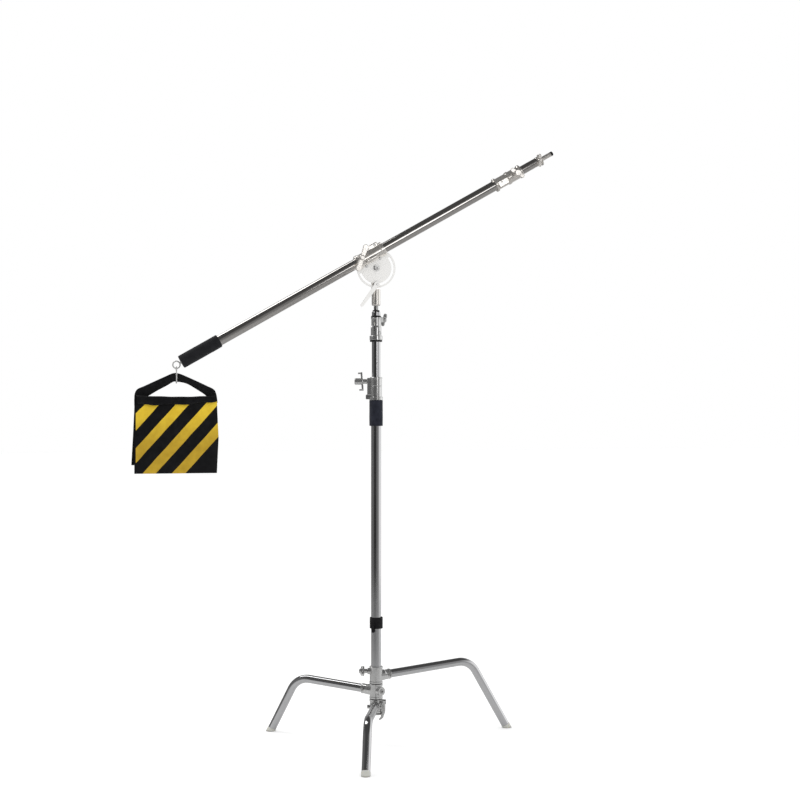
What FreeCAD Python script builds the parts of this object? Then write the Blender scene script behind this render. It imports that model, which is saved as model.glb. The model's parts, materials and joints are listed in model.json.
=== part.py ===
"""Studio boom stand: turtle base with three bent legs, two-stage riser, tilting boom and sandbag.

Millimetres. +Z is up, the origin is on the floor under the column's axis, and the boom lies in the XZ
plane with its load end up and towards +X. The sandbag hangs plumb from the boom's low end.
"""
import FreeCAD, Part
import math
import os

Vector = FreeCAD.Vector
UP = Vector(0, 0, 1)

# ---- driving dimensions -------------------------------------------------------------------------

VIEW_LEFT = 168.0        # azimuth of the side that the main handle points to
VIEW_RIGHT = -12.0       # azimuth of the opposite side
VIEW_FRONT = -102.0      # azimuth of the side that the knobs face

# column tubes: outer radius, wall, bottom and top
LOWER_R, LOWER_WALL, LOWER_Z = 17.5, 1.4, (106.0, 1240.0)
RISER1_R, RISER1_WALL, RISER1_Z = 15.0, 1.2, (336.0, 1462.0)
RISER2_R, RISER2_WALL, RISER2_Z = 12.5, 1.2, (420.0, 1511.0)
RISER2_HEAD_R = 14.8     # sleeve at riser 2's top
FIT = 0.05               # radial clearance of every sliding or turning fit
SCREW_R = 4.0            # shank of every clamping handle
GAP = 0.2                # axial gap between faces of two bodies

# turtle base: three hubs on one sleeve
SLEEVE_R = 19.5
HUB_R = 23.4
WASHER_H = 2.0
LOW_HUB_Z = (106.2, 152.8)
MID_HUB_Z = (155.2, 206.8)
HIGH_HUB_Z = (209.0, 268.0)
SOCKET_R = 18.0
SOCKET_END = 54.0
SOCKET_BORE_START = 25.0
BASE_SCREW_Z = 251.0
BASE_BOSS_END = 30.0
MID_BOSS_AZIMUTH, MID_BOSS_Z = VIEW_FRONT + 38.0, 184.0
LOW_SCREW_Z = 126.0
LEVER_AZIMUTH = VIEW_RIGHT - 26.0
LEVER_PIN_Z = 144.0
LEVER_PIN_AT = 29.0
LEVER_PIN_R = 2.0

# legs: azimuth, height of the leg's line at the column, radius of the bend corner, radius at the floor
LEG_R = 14.5
LEG_WALL = 1.5
LEG_RISE = 3.9
LEG_BEND_R = 78.0
LEGS = {
    "high": (15.4, 234.0, 378.0, 537.0),
    "mid": (141.9, 183.0, 318.0, 430.0),
    "low": (-105.1, 131.0, 386.0, 474.0),
}
FOOT_CAP_R = 15.5
FOOT_CAP_LENGTH = 12.5
LEG_INSERT_Z = 3.0       # the tube ends this far above the floor, inside its cap
LEG_BOLT_AT = 45.0

# main collar on the lower tube
COLLAR1_Z = (1202.0, 1282.0)
COLLAR1_R = 21.0
COLLAR1_SCREW_Z = 1267.0
COLLAR1_LUG_Z = 1212.5
GRIP1_Z = (1111.0, 1202.0)
GRIP1_R = 23.6
STRAP_Z = (403.0, 440.0)
STRAP_R = 19.8

# riser collar on riser 1
COLLAR2_Z = (1406.0, 1497.0)
COLLAR2_R = 18.6
COLLAR2_SCREW_Z = 1484.0
COLLAR2_SCREW_AZIMUTH = 25.0

# spigot and head
SPIGOT_R = 8.0
SOCKET_Z = (1533.0, 1591.0)
HEAD_SOCKET_R = 15.5
SOCKET_SCREW_Z = SOCKET_Z[0] + 23.0
SOCKET_SCREW_R = 3.2
SOCKET_SCREW_AZIMUTH = 90.0
PIVOT_Z = 1665.0
DISC_R = 69.0
DISC_Y = (-5.0, 3.0)
SLOT_IN, SLOT_OUT = 54.0, 63.0
SLOT_HALF_ANGLE = 97.0
CHORD_V = 28.0           # the disc is cut flat this far from the pivot, towards the boom
BRACKET_Y = (3.3, 11.3)
LOCK_R = 0.5 * (SLOT_IN + SLOT_OUT)
LOCK_Z = PIVOT_Z - LOCK_R
LOCK_BOLT_R = 4.0
PIVOT_BOLT_R = 5.0
WASHER_THICK = 3.0
LEVER_ANGLE = -127.0     # direction of the locking lever in the XZ plane, from +X

# boom, measured along its axis from the foot of the pivot's perpendicular
BOOM_ELEVATION = 29.8
BOOM_OFFSET = 47.5
BOOM_R, BOOM_WALL = 18.0, 1.4
BOOM_U = (-752.0, 585.0)
BOOM_GRIP_U = (-755.5, -604.0)
BOOM_GRIP_R = 23.2
CLAMP_U = (-52.0, 56.0)
CLAMP_HANDLE_U = -35.0
CLAMP_HANDLE_V = 8.0
CLAMP_BOSS_Y = -32.0
TAB_Y = (DISC_Y[1], DISC_Y[1] + 6.0)
TAB_LOW_V = 17.6
DISC_SCREWS = ((-27.5, 21.8), (28.5, 21.8))
CLAMP_SCREWS_U = (4.0, 32.0)
KNUCKLE_R = 9.2
KNUCKLE_Y, KNUCKLE_V = -19.5, -11.0
KNUCKLE_PIN_R = 3.0
BOOM_COLLAR_U = (524.0, 634.0)
BOOM_HANDLE_U = 610.0
BOOM_BOSS_Y = -29.0
INNER_R, INNER_WALL = 15.5, 1.2
INNER_U = (-150.0, 704.0)
PIN_END_U = 772.0
PIN_TIP = 9.0
EYE_U = -773.0
EYE_RING_R, EYE_WIRE_R = 12.2, 2.3

# hook and sandbag
HOOK_WIRE_R = 2.2
HOOK_R = 7.0
HOOK_LOW_Z = 1258.0
BAG_WIDTH = 284.0
BAG_SHIFT = -4.0         # the bag's centre from the hook, along X
REAR_SHIFT = -8.0        # the rear pouch's further shift
BAG_TOP_Z = 1218.0
BAG_FRONT_Z = 951.0
BAG_REAR_Z = 979.0
BAND_HEIGHT = 28.0
POUCH_THICK = 18.0
POUCH_GAP = 8.0
STRAP_HALF_THICK = 2.5
STRAP_OUTLINE = (
    (-142.0, 0.0), (-136.0, 17.0), (-6.0, 76.0), (6.0, 76.0), (132.0, 18.0), (138.0, 0.0),
    (104.0, 0.0), (36.0, 38.0), (8.0, 45.5), (-8.0, 45.5), (-90.0, 0.0),
)                        # along X from the hook, and above the bag's top

# cast handles: radius of the neck and of the outer knob, length over both, distance of the wings
# from the boss, half span, tip radius and thickness of the wings, reach of the lips curled outwards
# at their tips, and lean of the wings in degrees
HANDLES = {
    "base": (8.4, 8.4, 30.0, 15.0, 24.0, 8.6, 8.0, 5.0, 0.0),
    "column": (9.0, 11.4, 44.5, 18.0, 33.0, 8.0, 6.5, 9.0, 4.5),
    "riser": (7.6, 8.6, 15.0, 8.0, 23.5, 8.5, 5.5, 0.0, 0.0),
    "clamp": (9.0, 9.0, 22.0, 13.0, 49.0, 9.5, 6.0, 0.0, 0.0),
    "boom": (11.5, 12.6, 17.0, 7.5, 28.0, 7.5, 6.0, 0.0, 0.0),
    "tip": (6.0, 6.6, 13.0, 7.5, 23.0, 5.5, 4.0, 0.0, 0.0),
}
TIP_SCREW_R = 3.0

# ---- shape helpers ------------------------------------------------------------------------------


def cylinder(radius, length, base=(0, 0, 0), axis=(0, 0, 1)):
    return Part.makeCylinder(radius, length, Vector(*base), Vector(*axis))


def box(low, high):
    size = [high[i] - low[i] for i in range(3)]
    return Part.makeBox(size[0], size[1], size[2], Vector(*low))


def turned(profile):
    """A lathe-turned solid: the closed outline of (radius, z) points revolved about Z."""
    points = [Vector(r, 0, z) for r, z in profile]
    points.append(points[0])
    face = Part.Face(Part.makePolygon(points))
    return face.revolve(Vector(0, 0, 0), UP, 360)


def ring(outer, inner, z0, z1, chamfer=0.6):
    """A turned ring with both outer edges broken."""
    c = min(chamfer, 0.4 * (z1 - z0))
    return turned([
        (inner, z0), (outer - c, z0), (outer, z0 + c), (outer, z1 - c), (outer - c, z1), (inner, z1),
    ])


def rod(radius, z0, z1, chamfer=0.8):
    """A turned rod with both edges broken."""
    c = min(chamfer, 0.4 * (z1 - z0), 0.5 * radius)
    return turned([(0, z0), (radius - c, z0), (radius, z0 + c), (radius, z1 - c), (radius - c, z1), (0, z1)])


def plain_tube(outer, inner, z0, z1):
    return ring(outer, inner, z0, z1, 0.3)


def fuse(shapes):
    return shapes[0].multiFuse(shapes[1:]).removeSplitter()


def group(shapes):
    return Part.makeCompound(shapes)


def upright_to_x(shape):
    """Turn a shape built along +Z so that it runs along +X, with its +X side down."""
    return shape.rotated(Vector(0, 0, 0), Vector(0, 1, 0), 90)


def radial(shape, azimuth, z=0.0):
    """Carry a shape built along +X out from the column at an azimuth and a height."""
    return shape.rotated(Vector(0, 0, 0), UP, azimuth).translated(Vector(0, 0, z))


def boom_foot():
    e = math.radians(BOOM_ELEVATION)
    return Vector(-BOOM_OFFSET * math.sin(e), 0, PIVOT_Z + BOOM_OFFSET * math.cos(e))


def on_boom(shape):
    """Carry a shape built along +X (u), with +Z (v) away from the pivot, onto the boom's axis."""
    return shape.rotated(Vector(0, 0, 0), Vector(0, 1, 0), -BOOM_ELEVATION).translated(boom_foot())


def on_pivot(shape):
    """As on_boom, for a shape built about the pivot."""
    turn = shape.rotated(Vector(0, 0, 0), Vector(0, 1, 0), -BOOM_ELEVATION)
    return turn.translated(Vector(0, 0, PIVOT_Z))


def along_boom(profile):
    """A turned part of (radius, u) points on the boom's axis."""
    return on_boom(upright_to_x(turned(profile)))


def boom_point(u, v=0.0):
    e = math.radians(BOOM_ELEVATION)
    foot = boom_foot()
    return Vector(foot.x + u * math.cos(e) - v * math.sin(e), 0, foot.z + u * math.sin(e) + v * math.cos(e))


def rounded_plate(outline_circles, y0, y1):
    """A plate in XZ: the hull of two circles (x, z, radius), from y0 to y1."""
    (x1, z1, r1), (x2, z2, r2) = outline_circles
    dx, dz = x2 - x1, z2 - z1
    d = math.hypot(dx, dz)
    along = math.atan2(dz, dx)
    lean = math.acos((r1 - r2) / d)
    corners = []
    for x, z, r, side in ((x1, z1, r1, 1), (x2, z2, r2, 1), (x2, z2, r2, -1), (x1, z1, r1, -1)):
        a = along + side * lean
        corners.append(Vector(x + r * math.cos(a), y0, z + r * math.sin(a)))
    far = Vector(x2 + r2 * math.cos(along), y0, z2 + r2 * math.sin(along))
    near = Vector(x1 - r1 * math.cos(along), y0, z1 - r1 * math.sin(along))
    edges = [
        Part.LineSegment(corners[0], corners[1]).toShape(),
        Part.Arc(corners[1], far, corners[2]).toShape(),
        Part.LineSegment(corners[2], corners[3]).toShape(),
        Part.Arc(corners[3], near, corners[0]).toShape(),
    ]
    return Part.Face(Part.Wire(edges)).extrude(Vector(0, y1 - y0, 0))


def swept(wire, radius):
    """A round wire or rod of one radius along a tangent path."""
    edge = wire.Edges[0]
    start = edge.valueAt(edge.FirstParameter)
    tangent = edge.tangentAt(edge.FirstParameter)
    circle = Part.Wire([Part.Circle(start, tangent, radius).toShape()])
    return wire.makePipeShell([circle], True, False)


def screw_blank(radius, head_radius, head_height, length):
    """A screw along +X without its socket: its head ends at x = 0 and its shank at x = -length."""
    head = upright_to_x(rod(head_radius, -head_height, 0, 0.5))
    shank = cylinder(radius, length - head_height + 0.01, (-length, 0, 0), (1, 0, 0))
    return fuse([head, shank])


def cap_screw(radius, head_radius, head_height, length):
    """A socket-head screw along +X."""
    recess = head_radius * 0.5
    hexagon = Part.makePolygon([
        Vector(0.1, recess * math.cos(math.radians(60 * i)), recess * math.sin(math.radians(60 * i)))
        for i in range(7)
    ])
    hexagon = Part.Face(hexagon).extrude(Vector(-0.6 * head_height, 0, 0))
    return screw_blank(radius, head_radius, head_height, length).cut(hexagon)


def t_handle(name, shank_r, inner, wing_turn=0.0):
    """A cast wing handle along +X: x = 0 is the boss's face, and its threaded shank runs inwards."""
    neck, knob, length, wing_at, span, tip, thick, curl, lean = HANDLES[name]
    shank = cylinder(shank_r, inner + 2.0, (-inner, 0, 0), (1, 0, 0))
    barrel = upright_to_x(turned([
        (0, 0.4), (neck - 1.6, 0.4), (neck - 0.6, 2.0), (neck - 0.6, wing_at - 4.0),
        (knob - 0.4, wing_at - 2.5), (knob, wing_at - 1.0), (knob, length - 3.0),
        (knob - 1.2, length - 0.8), (knob - 3.0, length), (0, length),
    ]))
    blade = fuse([wing(side, span - tip, tip, thick) for side in (1, -1)])
    blade = blade.makeFillet(0.3 * thick, blade.Edges)
    if curl > 0.0:
        lips = [wing_lip(side * (span - 3.4), 0.62 * tip, 0.5 * thick, curl) for side in (1, -1)]
        blade = fuse([blade] + lips)
    blade = blade.translated(Vector(wing_at, 0, 0))
    blade = blade.rotated(Vector(wing_at, 0, 0), Vector(0, 1, 0), lean)
    handle = fuse([shank, barrel, blade])
    return handle.rotated(Vector(0, 0, 0), Vector(1, 0, 0), wing_turn)


def wing(side, reach, tip, thick):
    """One wing in the YZ plane, wider at its tip than at its waist."""
    outline = ((0, 0, 0.72 * tip), (0, side * reach, tip))
    lobe = rounded_plate(outline, 0, thick)
    lobe = lobe.rotated(Vector(0, 0, 0), UP, 90)
    return lobe.translated(Vector(0.5 * thick, 0, 0))


def wing_lip(z, half_width, half_thick, curl):
    """The lip at a wing's tip that curls outwards for the fingers."""
    lip = box((1.0 - half_thick, -half_width, z - 2.2), (half_thick + curl, half_width, z + 2.2))
    return lip.makeFillet(1.6, lip.Edges)


# ---- turtle base --------------------------------------------------------------------------------


def base_sleeve():
    """The spindle that the three hubs sit on; the column's tube drops into it onto an inner lip."""
    return turned([
        (13.0, 100.0), (21.5, 100.0), (22.6, 101.0), (22.6, 104.0), (SLEEVE_R, 104.0), (SLEEVE_R, 266.0),
        (LOWER_R + FIT, 266.0), (LOWER_R + FIT, LOWER_Z[0]), (13.0, LOWER_Z[0]),
    ])


def hub_washers():
    lows = (104.0, LOW_HUB_Z[1] + GAP, MID_HUB_Z[1] + GAP)
    return group([ring(22.2, SLEEVE_R, z, z + WASHER_H, 0.3) for z in lows])


def hub_ring(z0, z1, bore):
    """A hub's turned body: a waist between two rims."""
    return turned([
        (bore, z0), (HUB_R - 0.8, z0), (HUB_R, z0 + 0.8), (HUB_R, z0 + 6.0), (HUB_R - 1.2, z0 + 7.5),
        (HUB_R - 1.2, z1 - 7.5), (HUB_R, z1 - 6.0), (HUB_R, z1 - 0.8), (HUB_R - 0.8, z1), (bore, z1),
    ])


def leg_frame(shape, name):
    """Carry a shape built along +X on the leg's own rising line to the leg's place."""
    azimuth, height = LEGS[name][0], LEGS[name][1]
    rising = shape.rotated(Vector(0, 0, 0), Vector(0, 1, 0), -LEG_RISE)
    return radial(rising, azimuth, height)


def leg_socket(name):
    """The cast socket that holds the leg's tube, thicker at its root."""
    barrel = upright_to_x(turned([
        (0, 6.0), (SOCKET_R + 0.6, 6.0), (SOCKET_R + 0.6, 30.0), (SOCKET_R - 1.2, 34.0),
        (SOCKET_R - 1.2, SOCKET_END - 6.0), (SOCKET_R, SOCKET_END - 5.0), (SOCKET_R, SOCKET_END - 1.0),
        (SOCKET_R - 1.0, SOCKET_END), (0, SOCKET_END),
    ]))
    rib = box((20.0, -3.0, -SOCKET_R + 0.5), (44.0, 3.0, 0.0))
    return leg_frame(fuse([barrel, rib]), name)


def leg_bore(name):
    return leg_frame(cylinder(LEG_R, 80.0, (SOCKET_BORE_START, 0, 0), (1, 0, 0)), name)


def leg_bolt(name, screw_maker=cap_screw):
    """The cross bolt with its nut that holds a leg's tube in its socket."""
    screw = screw_maker(3.0, 5.4, 5.5, 44.0).rotated(Vector(0, 0, 0), UP, -90)
    screw = screw.translated(Vector(LEG_BOLT_AT, -22.0, 0))
    hexagon = Part.makePolygon([
        Vector(LEG_BOLT_AT + 5.6 * math.cos(math.radians(60 * i)), 17.0, 5.6 * math.sin(math.radians(60 * i)))
        for i in range(7)
    ])
    nut = Part.Face(hexagon).extrude(Vector(0, 4.5, 0))
    nut = nut.cut(cylinder(3.0, 30.0, (LEG_BOLT_AT, 0, 0), (0, 1, 0)))
    return leg_frame(group([screw, nut]), name)


def hub(name, z0, z1, bore, bosses):
    """One hub: turned ring, leg socket and its extra bosses, bored for the sleeve and the tube."""
    body = fuse([hub_ring(z0, z1, 10.0), leg_socket(name)] + bosses)
    body = body.cut(cylinder(bore, z1 - z0 + 60.0, (0, 0, z0 - 30.0)))
    body = body.cut(leg_bore(name))
    return body.cut(leg_bolt(name, screw_blank))


def boss(radius, start, end, azimuth, z):
    """A round cast boss that stands out from the column at an azimuth."""
    shape = upright_to_x(turned([
        (0, start), (radius, start), (radius, end - 1.0), (radius - 1.0, end), (0, end),
    ]))
    return radial(shape, azimuth, z)


def base_screw_hole():
    return radial(cylinder(SCREW_R + FIT, 60.0, (10.0, 0, 0), (1, 0, 0)), VIEW_LEFT, BASE_SCREW_Z)


def high_hub():
    screw_boss = boss(11.0, 8.0, BASE_BOSS_END, VIEW_LEFT, BASE_SCREW_Z)
    body = hub("high", HIGH_HUB_Z[0], HIGH_HUB_Z[1], SLEEVE_R, [screw_boss])
    return body.cut(base_screw_hole())


def mid_hub():
    pivot_boss = boss(15.5, 8.0, 33.0, MID_BOSS_AZIMUTH, MID_BOSS_Z)
    body = hub("mid", MID_HUB_Z[0], MID_HUB_Z[1], SLEEVE_R + FIT, [pivot_boss])
    return body.cut(mid_hub_screw(screw_blank))


def mid_hub_screw(screw_maker=cap_screw):
    """The large pivot screw seated in the middle hub's round boss."""
    screw = screw_maker(4.0, 8.4, 6.0, 13.0).translated(Vector(34.4, 0, 0))
    return radial(screw, MID_BOSS_AZIMUTH, MID_BOSS_Z)


def mid_hub_bolts():
    return group([leg_bolt("mid"), mid_hub_screw()])


def lever_ears():
    ears = []
    for side in (-1, 1):
        y = side * 9.5
        ear = box((16.0, min(y, y + side * 4.0), -8.0), (33.0, max(y, y + side * 4.0), 7.5))
        ears.append(radial(ear, LEVER_AZIMUTH, LEVER_PIN_Z))
    return ears


def lever_pin():
    pin = cylinder(LEVER_PIN_R, 29.0, (LEVER_PIN_AT, -14.5, 0), (0, 1, 0))
    return radial(pin, LEVER_AZIMUTH, LEVER_PIN_Z)


def low_hub_screw(screw_maker=cap_screw):
    """The stop screw on the low hub's side."""
    screw = screw_maker(3.5, 6.6, 7.5, 10.0).translated(Vector(31.0, 0, 0))
    return radial(screw, VIEW_LEFT, LOW_SCREW_Z)


def low_hub():
    body = hub("low", LOW_HUB_Z[0], LOW_HUB_Z[1], SLEEVE_R + FIT, lever_ears())
    body = body.cut(low_hub_screw(screw_blank))
    return body.cut(lever_pin())


def low_hub_bolts():
    return group([leg_bolt("low"), low_hub_screw(), lever_pin()])


def release_lever():
    """The hub's hinged latch lever: a barrel on its pin and a tongue that hangs down beside the hub."""
    barrel = cylinder(5.0, 18.4, (LEVER_PIN_AT, -9.2, 0), (0, 1, 0))
    outline = [(25.2, 3.0), (30.5, 3.5), (33.0, -4.0), (32.5, -34.0), (24.0, -56.0), (17.0, -62.5),
               (14.5, -59.0), (21.0, -51.5), (27.6, -33.0), (27.6, -8.0)]
    points = [Vector(x, -7.5, z) for x, z in outline]
    points.append(points[0])
    tongue = Part.Face(Part.makePolygon(points)).extrude(Vector(0, 15.0, 0))
    lever = fuse([barrel, tongue])
    lever = lever.cut(cylinder(LEVER_PIN_R + FIT, 40.0, (LEVER_PIN_AT, -20.0, 0), (0, 1, 0)))
    return radial(lever, LEVER_AZIMUTH, LEVER_PIN_Z)


def base_t_handle():
    handle = t_handle("base", SCREW_R, 12.2, 68.0)
    return radial(handle.translated(Vector(BASE_BOSS_END, 0, 0)), VIEW_LEFT, BASE_SCREW_Z)


def sleeve_with_hole():
    return base_sleeve().cut(base_screw_hole())


def leg_path(name):
    """The leg's centre line in its own vertical plane, as (radius, z) points around one tangent arc."""
    height, corner_r, floor_r = LEGS[name][1], LEGS[name][2], LEGS[name][3]
    rise = math.tan(math.radians(LEG_RISE))
    corner = Vector(corner_r, 0, height + rise * corner_r)
    start = Vector(SOCKET_BORE_START + 0.3, 0, height + rise * (SOCKET_BORE_START + 0.3))
    down = (Vector(floor_r, 0, 0) - corner).normalize()
    back = (start - corner).normalize()
    turn = math.pi - back.getAngle(down)
    reach = LEG_BEND_R * math.tan(0.5 * turn)
    enter = corner + back * reach
    leave = corner + down * reach
    middle_line = (back + down).normalize()
    centre = corner + middle_line * (LEG_BEND_R / math.cos(0.5 * turn))
    middle = centre - middle_line * LEG_BEND_R
    end = Vector(floor_r, 0, 0) + down * 30.0
    return start, enter, middle, leave, end


def leg_tube(name):
    """A bent steel tube, cut level a little above the floor inside its foot cap."""
    start, enter, middle, leave, end = leg_path(name)
    wire = Part.Wire([
        Part.LineSegment(start, enter).toShape(),
        Part.Arc(enter, middle, leave).toShape(),
        Part.LineSegment(leave, end).toShape(),
    ])
    shell = swept(wire, LEG_R).cut(swept(wire, LEG_R - LEG_WALL))
    shell = shell.cut(box((-50, -200, -200), (900, 200, LEG_INSERT_Z)))
    shell = radial(shell, LEGS[name][0])
    return shell.cut(leg_bolt(name, screw_blank))


def leg_foot(name):
    """A moulded cap on the leg's end, its sole cut level with the floor."""
    leave, end = leg_path(name)[3:]
    down = (end - leave).normalize()
    floor = Vector(LEGS[name][3], 0, 0)
    top = floor - down * FOOT_CAP_LENGTH
    outer = Part.makeCylinder(FOOT_CAP_R, FOOT_CAP_LENGTH + 40.0, top, down)
    rim = Part.makeCone(LEG_R + 0.4, FOOT_CAP_R, 3.0, top - down * 3.0, down)
    bore = Part.makeCylinder(LEG_R, FOOT_CAP_LENGTH + 80.0, top - down * 6.0, down)
    bore = bore.cut(box((-50, -200, -200), (900, 200, LEG_INSERT_Z)))
    cap = fuse([outer, rim]).cut(bore)
    cap = cap.cut(box((-50, -200, -200), (900, 200, 0)))
    return radial(cap, LEGS[name][0])


# ---- column -------------------------------------------------------------------------------------


def lower_tube():
    return plain_tube(LOWER_R, LOWER_R - LOWER_WALL, LOWER_Z[0], LOWER_Z[1])


def main_screw_hole():
    return radial(cylinder(SCREW_R + FIT, 40.0, (8.0, 0, 0), (1, 0, 0)), VIEW_LEFT, COLLAR1_SCREW_Z)


def main_collar():
    """The cast collar: two flanges, a turned body and the square boss of the clamping screw."""
    z0, z1 = COLLAR1_Z
    body = turned([
        (LOWER_R, z0), (GRIP1_R - 0.8, z0), (GRIP1_R, z0 + 0.8), (GRIP1_R, z0 + 10.0),
        (GRIP1_R - 1.0, z0 + 11.0),
        (COLLAR1_R - 0.6, z0 + 11.5), (COLLAR1_R - 0.6, z0 + 47.0), (COLLAR1_R - 1.4, z0 + 48.0),
        (COLLAR1_R - 1.4, z0 + 50.0), (COLLAR1_R - 0.6, z0 + 51.0), (COLLAR1_R - 0.6, z1 - 6.5),
        (COLLAR1_R + 0.6, z1 - 5.5), (COLLAR1_R + 0.6, z1 - 1.0), (COLLAR1_R - 0.4, z1), (LOWER_R, z1),
    ])
    block = box((15.0, -11.0, z0 + 17.0), (31.0, 11.0, z1 - 2.5))
    block = block.makeFillet(2.5, [e for e in block.Edges if e.CenterOfMass.x > 20.0])
    lug = box((15.0, -4.5, z0 + 2.5), (36.0, 4.5, z0 + 19.0))
    outer_edges = [e for e in lug.Edges if e.CenterOfMass.x > 30.0 and abs(e.CenterOfMass.y) < 1.0]
    lug = lug.makeFillet(3.0, outer_edges)
    body = fuse([body, radial(block, VIEW_LEFT), radial(lug, VIEW_LEFT)])
    body = body.cut(cylinder(LOWER_R, 200.0, (0, 0, z0 - 50.0)))
    return body.cut(main_screw_hole()).cut(main_lug_bolt(screw_blank))


def main_lug_bolt(screw_maker=cap_screw):
    """The small cross bolt in the collar's lower lug."""
    bolt = screw_maker(2.5, 4.2, 4.0, 16.0).rotated(Vector(0, 0, 0), UP, -90)
    return radial(bolt.translated(Vector(30.0, -8.0, 0)), VIEW_LEFT, COLLAR1_LUG_Z)


def main_collar_bush():
    """The lining above the lower tube's end that riser 1 slides in."""
    bush = plain_tube(LOWER_R, RISER1_R + FIT, LOWER_Z[1], COLLAR1_Z[1] - 0.5)
    return bush.cut(main_screw_hole())


def column_t_handle():
    handle = t_handle("column", SCREW_R, 31.0 - RISER1_R - 0.4, 8.0)
    return radial(handle.translated(Vector(31.0, 0, 0)), VIEW_LEFT, COLLAR1_SCREW_Z)


def column_foam_grip():
    z0, z1 = GRIP1_Z
    return turned([
        (LOWER_R, z0), (GRIP1_R - 2.0, z0), (GRIP1_R - 0.6, z0 + 0.7), (GRIP1_R, z0 + 2.2),
        (GRIP1_R, z1 - 1.5),
        (GRIP1_R - 0.8, z1), (LOWER_R, z1),
    ])


def cable_strap():
    """The wrapped cable-tie strap: a band round the tube with a thick overlap and a short hanging tail."""
    band = ring(STRAP_R, LOWER_R, STRAP_Z[0], STRAP_Z[1], 0.8)
    overlap = box((10.0, -9.0, STRAP_Z[0] + 4.0), (23.5, 9.0, STRAP_Z[1] - 6.0))
    tail = box((17.8, -13.0, STRAP_Z[0] - 9.0), (20.6, 1.0, STRAP_Z[1] - 20.0))
    strap = fuse([band, radial(overlap, VIEW_LEFT + 20.0), radial(tail, VIEW_FRONT - 30.0)])
    return strap.cut(cylinder(LOWER_R, 200.0, (0, 0, STRAP_Z[0] - 60.0)))


# ---- riser 1 ------------------------------------------------------------------------------------


def riser_1_tube():
    return plain_tube(RISER1_R, RISER1_R - RISER1_WALL, RISER1_Z[0], RISER1_Z[1])


def riser_1_glide():
    """The plastic bush pressed on riser 1's foot, which guides it in the lower tube."""
    z0 = RISER1_Z[0]
    bore = LOWER_R - LOWER_WALL
    return turned([
        (RISER1_R - RISER1_WALL - 1.5, z0 - 8.0), (bore - FIT - 0.8, z0 - 8.0), (bore - FIT, z0 - 6.5),
        (bore - FIT, z0), (RISER1_R - RISER1_WALL, z0), (RISER1_R - RISER1_WALL, z0 + 25.0),
        (RISER1_R - RISER1_WALL - 1.5, z0 + 25.0),
    ])


def collar2_arm():
    """The riser collar's clamping arm: a forked lug at the side that carries the T-handle."""
    arm = box((10.0, -8.0, COLLAR2_SCREW_Z - 9.0), (27.0, 8.0, COLLAR2_SCREW_Z + 9.0))
    arm = arm.makeFillet(2.5, [e for e in arm.Edges if e.CenterOfMass.x > 20.0])
    top = box((0.0, -20.0, COLLAR2_Z[1] - 5.2), (RISER1_R + 4.0, 20.0, COLLAR2_Z[1] + 10.0))
    return radial(arm.cut(top), COLLAR2_SCREW_AZIMUTH)


def riser_screw_hole():
    hole = cylinder(SCREW_R + FIT, 40.0, (8.0, 0, 0), (1, 0, 0))
    return radial(hole, COLLAR2_SCREW_AZIMUTH, COLLAR2_SCREW_Z)


def riser_collar():
    z0, z1 = COLLAR2_Z
    body = turned([
        (RISER1_R, z0 + 6.5), (22.0, z0 + 6.5), (22.8, z0 + 7.3), (22.8, z0 + 20.0), (22.0, z0 + 21.0),
        (COLLAR2_R, z0 + 22.0), (COLLAR2_R, z0 + 50.0), (COLLAR2_R - 1.9, z0 + 56.0),
        (COLLAR2_R - 1.9, z1 - 12.0), (17.4, z1 - 11.0), (18.0, z1 - 10.0), (18.0, z1 - 6.0),
        (17.2, z1 - 5.2), (RISER1_R, z1 - 5.2),
    ])
    front_boss = boss(6.5, 8.0, 22.5, VIEW_FRONT + 38.0, z0 + 30.0)
    body = fuse([body, collar2_arm(), front_boss])
    body = body.cut(cylinder(RISER1_R, 200.0, (0, 0, z0 - 50.0)))
    slot = radial(box((10.0, -1.6, z0 + 37.0), (24.0, 1.6, z0 + 68.0)), VIEW_FRONT - 18.0)
    return body.cut(slot).cut(riser_screw_hole())


def riser_collar_bush():
    bush = plain_tube(RISER1_R, RISER2_R + FIT, RISER1_Z[1], COLLAR2_Z[1] - 5.2)
    return bush.cut(riser_screw_hole())


def riser_collar_rings():
    """The two black plastic rings at the riser collar's ends."""
    z0, z1 = COLLAR2_Z
    lower = ring(21.6, RISER1_R, z0, z0 + 6.5, 1.0)
    upper = ring(17.6, RISER2_R + 0.4, z1 - 5.2, z1, 1.0)
    return group([lower, upper])


def riser_t_handle():
    handle = t_handle("riser", SCREW_R, 27.0 - RISER2_R - 0.4, 28.0)
    return radial(handle.translated(Vector(27.0, 0, 0)), COLLAR2_SCREW_AZIMUTH, COLLAR2_SCREW_Z)


# ---- riser 2 and spigot -------------------------------------------------------------------------


def riser_2_tube():
    """The slim tube with the thicker sleeve at its top, which stops on the riser collar."""
    z0, z1 = RISER2_Z
    inside = RISER2_R - RISER2_WALL
    head_low = COLLAR2_Z[1] + GAP
    return turned([
        (inside, z0), (RISER2_R, z0), (RISER2_R, head_low), (RISER2_HEAD_R - 0.5, head_low),
        (RISER2_HEAD_R, head_low + 0.5), (RISER2_HEAD_R, z1 - 1.0), (RISER2_HEAD_R - 1.0, z1), (inside, z1),
    ])


def riser_2_glide():
    z0 = RISER2_Z[0]
    bore = RISER1_R - RISER1_WALL
    return turned([
        (RISER2_R - RISER2_WALL - 1.5, z0 - 8.0), (bore - FIT - 0.8, z0 - 8.0), (bore - FIT, z0 - 6.5),
        (bore - FIT, z0), (RISER2_R - RISER2_WALL, z0), (RISER2_R - RISER2_WALL, z0 + 25.0),
        (RISER2_R - RISER2_WALL - 1.5, z0 + 25.0),
    ])


def riser_2_cap_ring():
    z1 = RISER2_Z[1]
    return ring(RISER2_R - 0.2, SPIGOT_R, z1, z1 + 6.0, 1.2)


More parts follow.
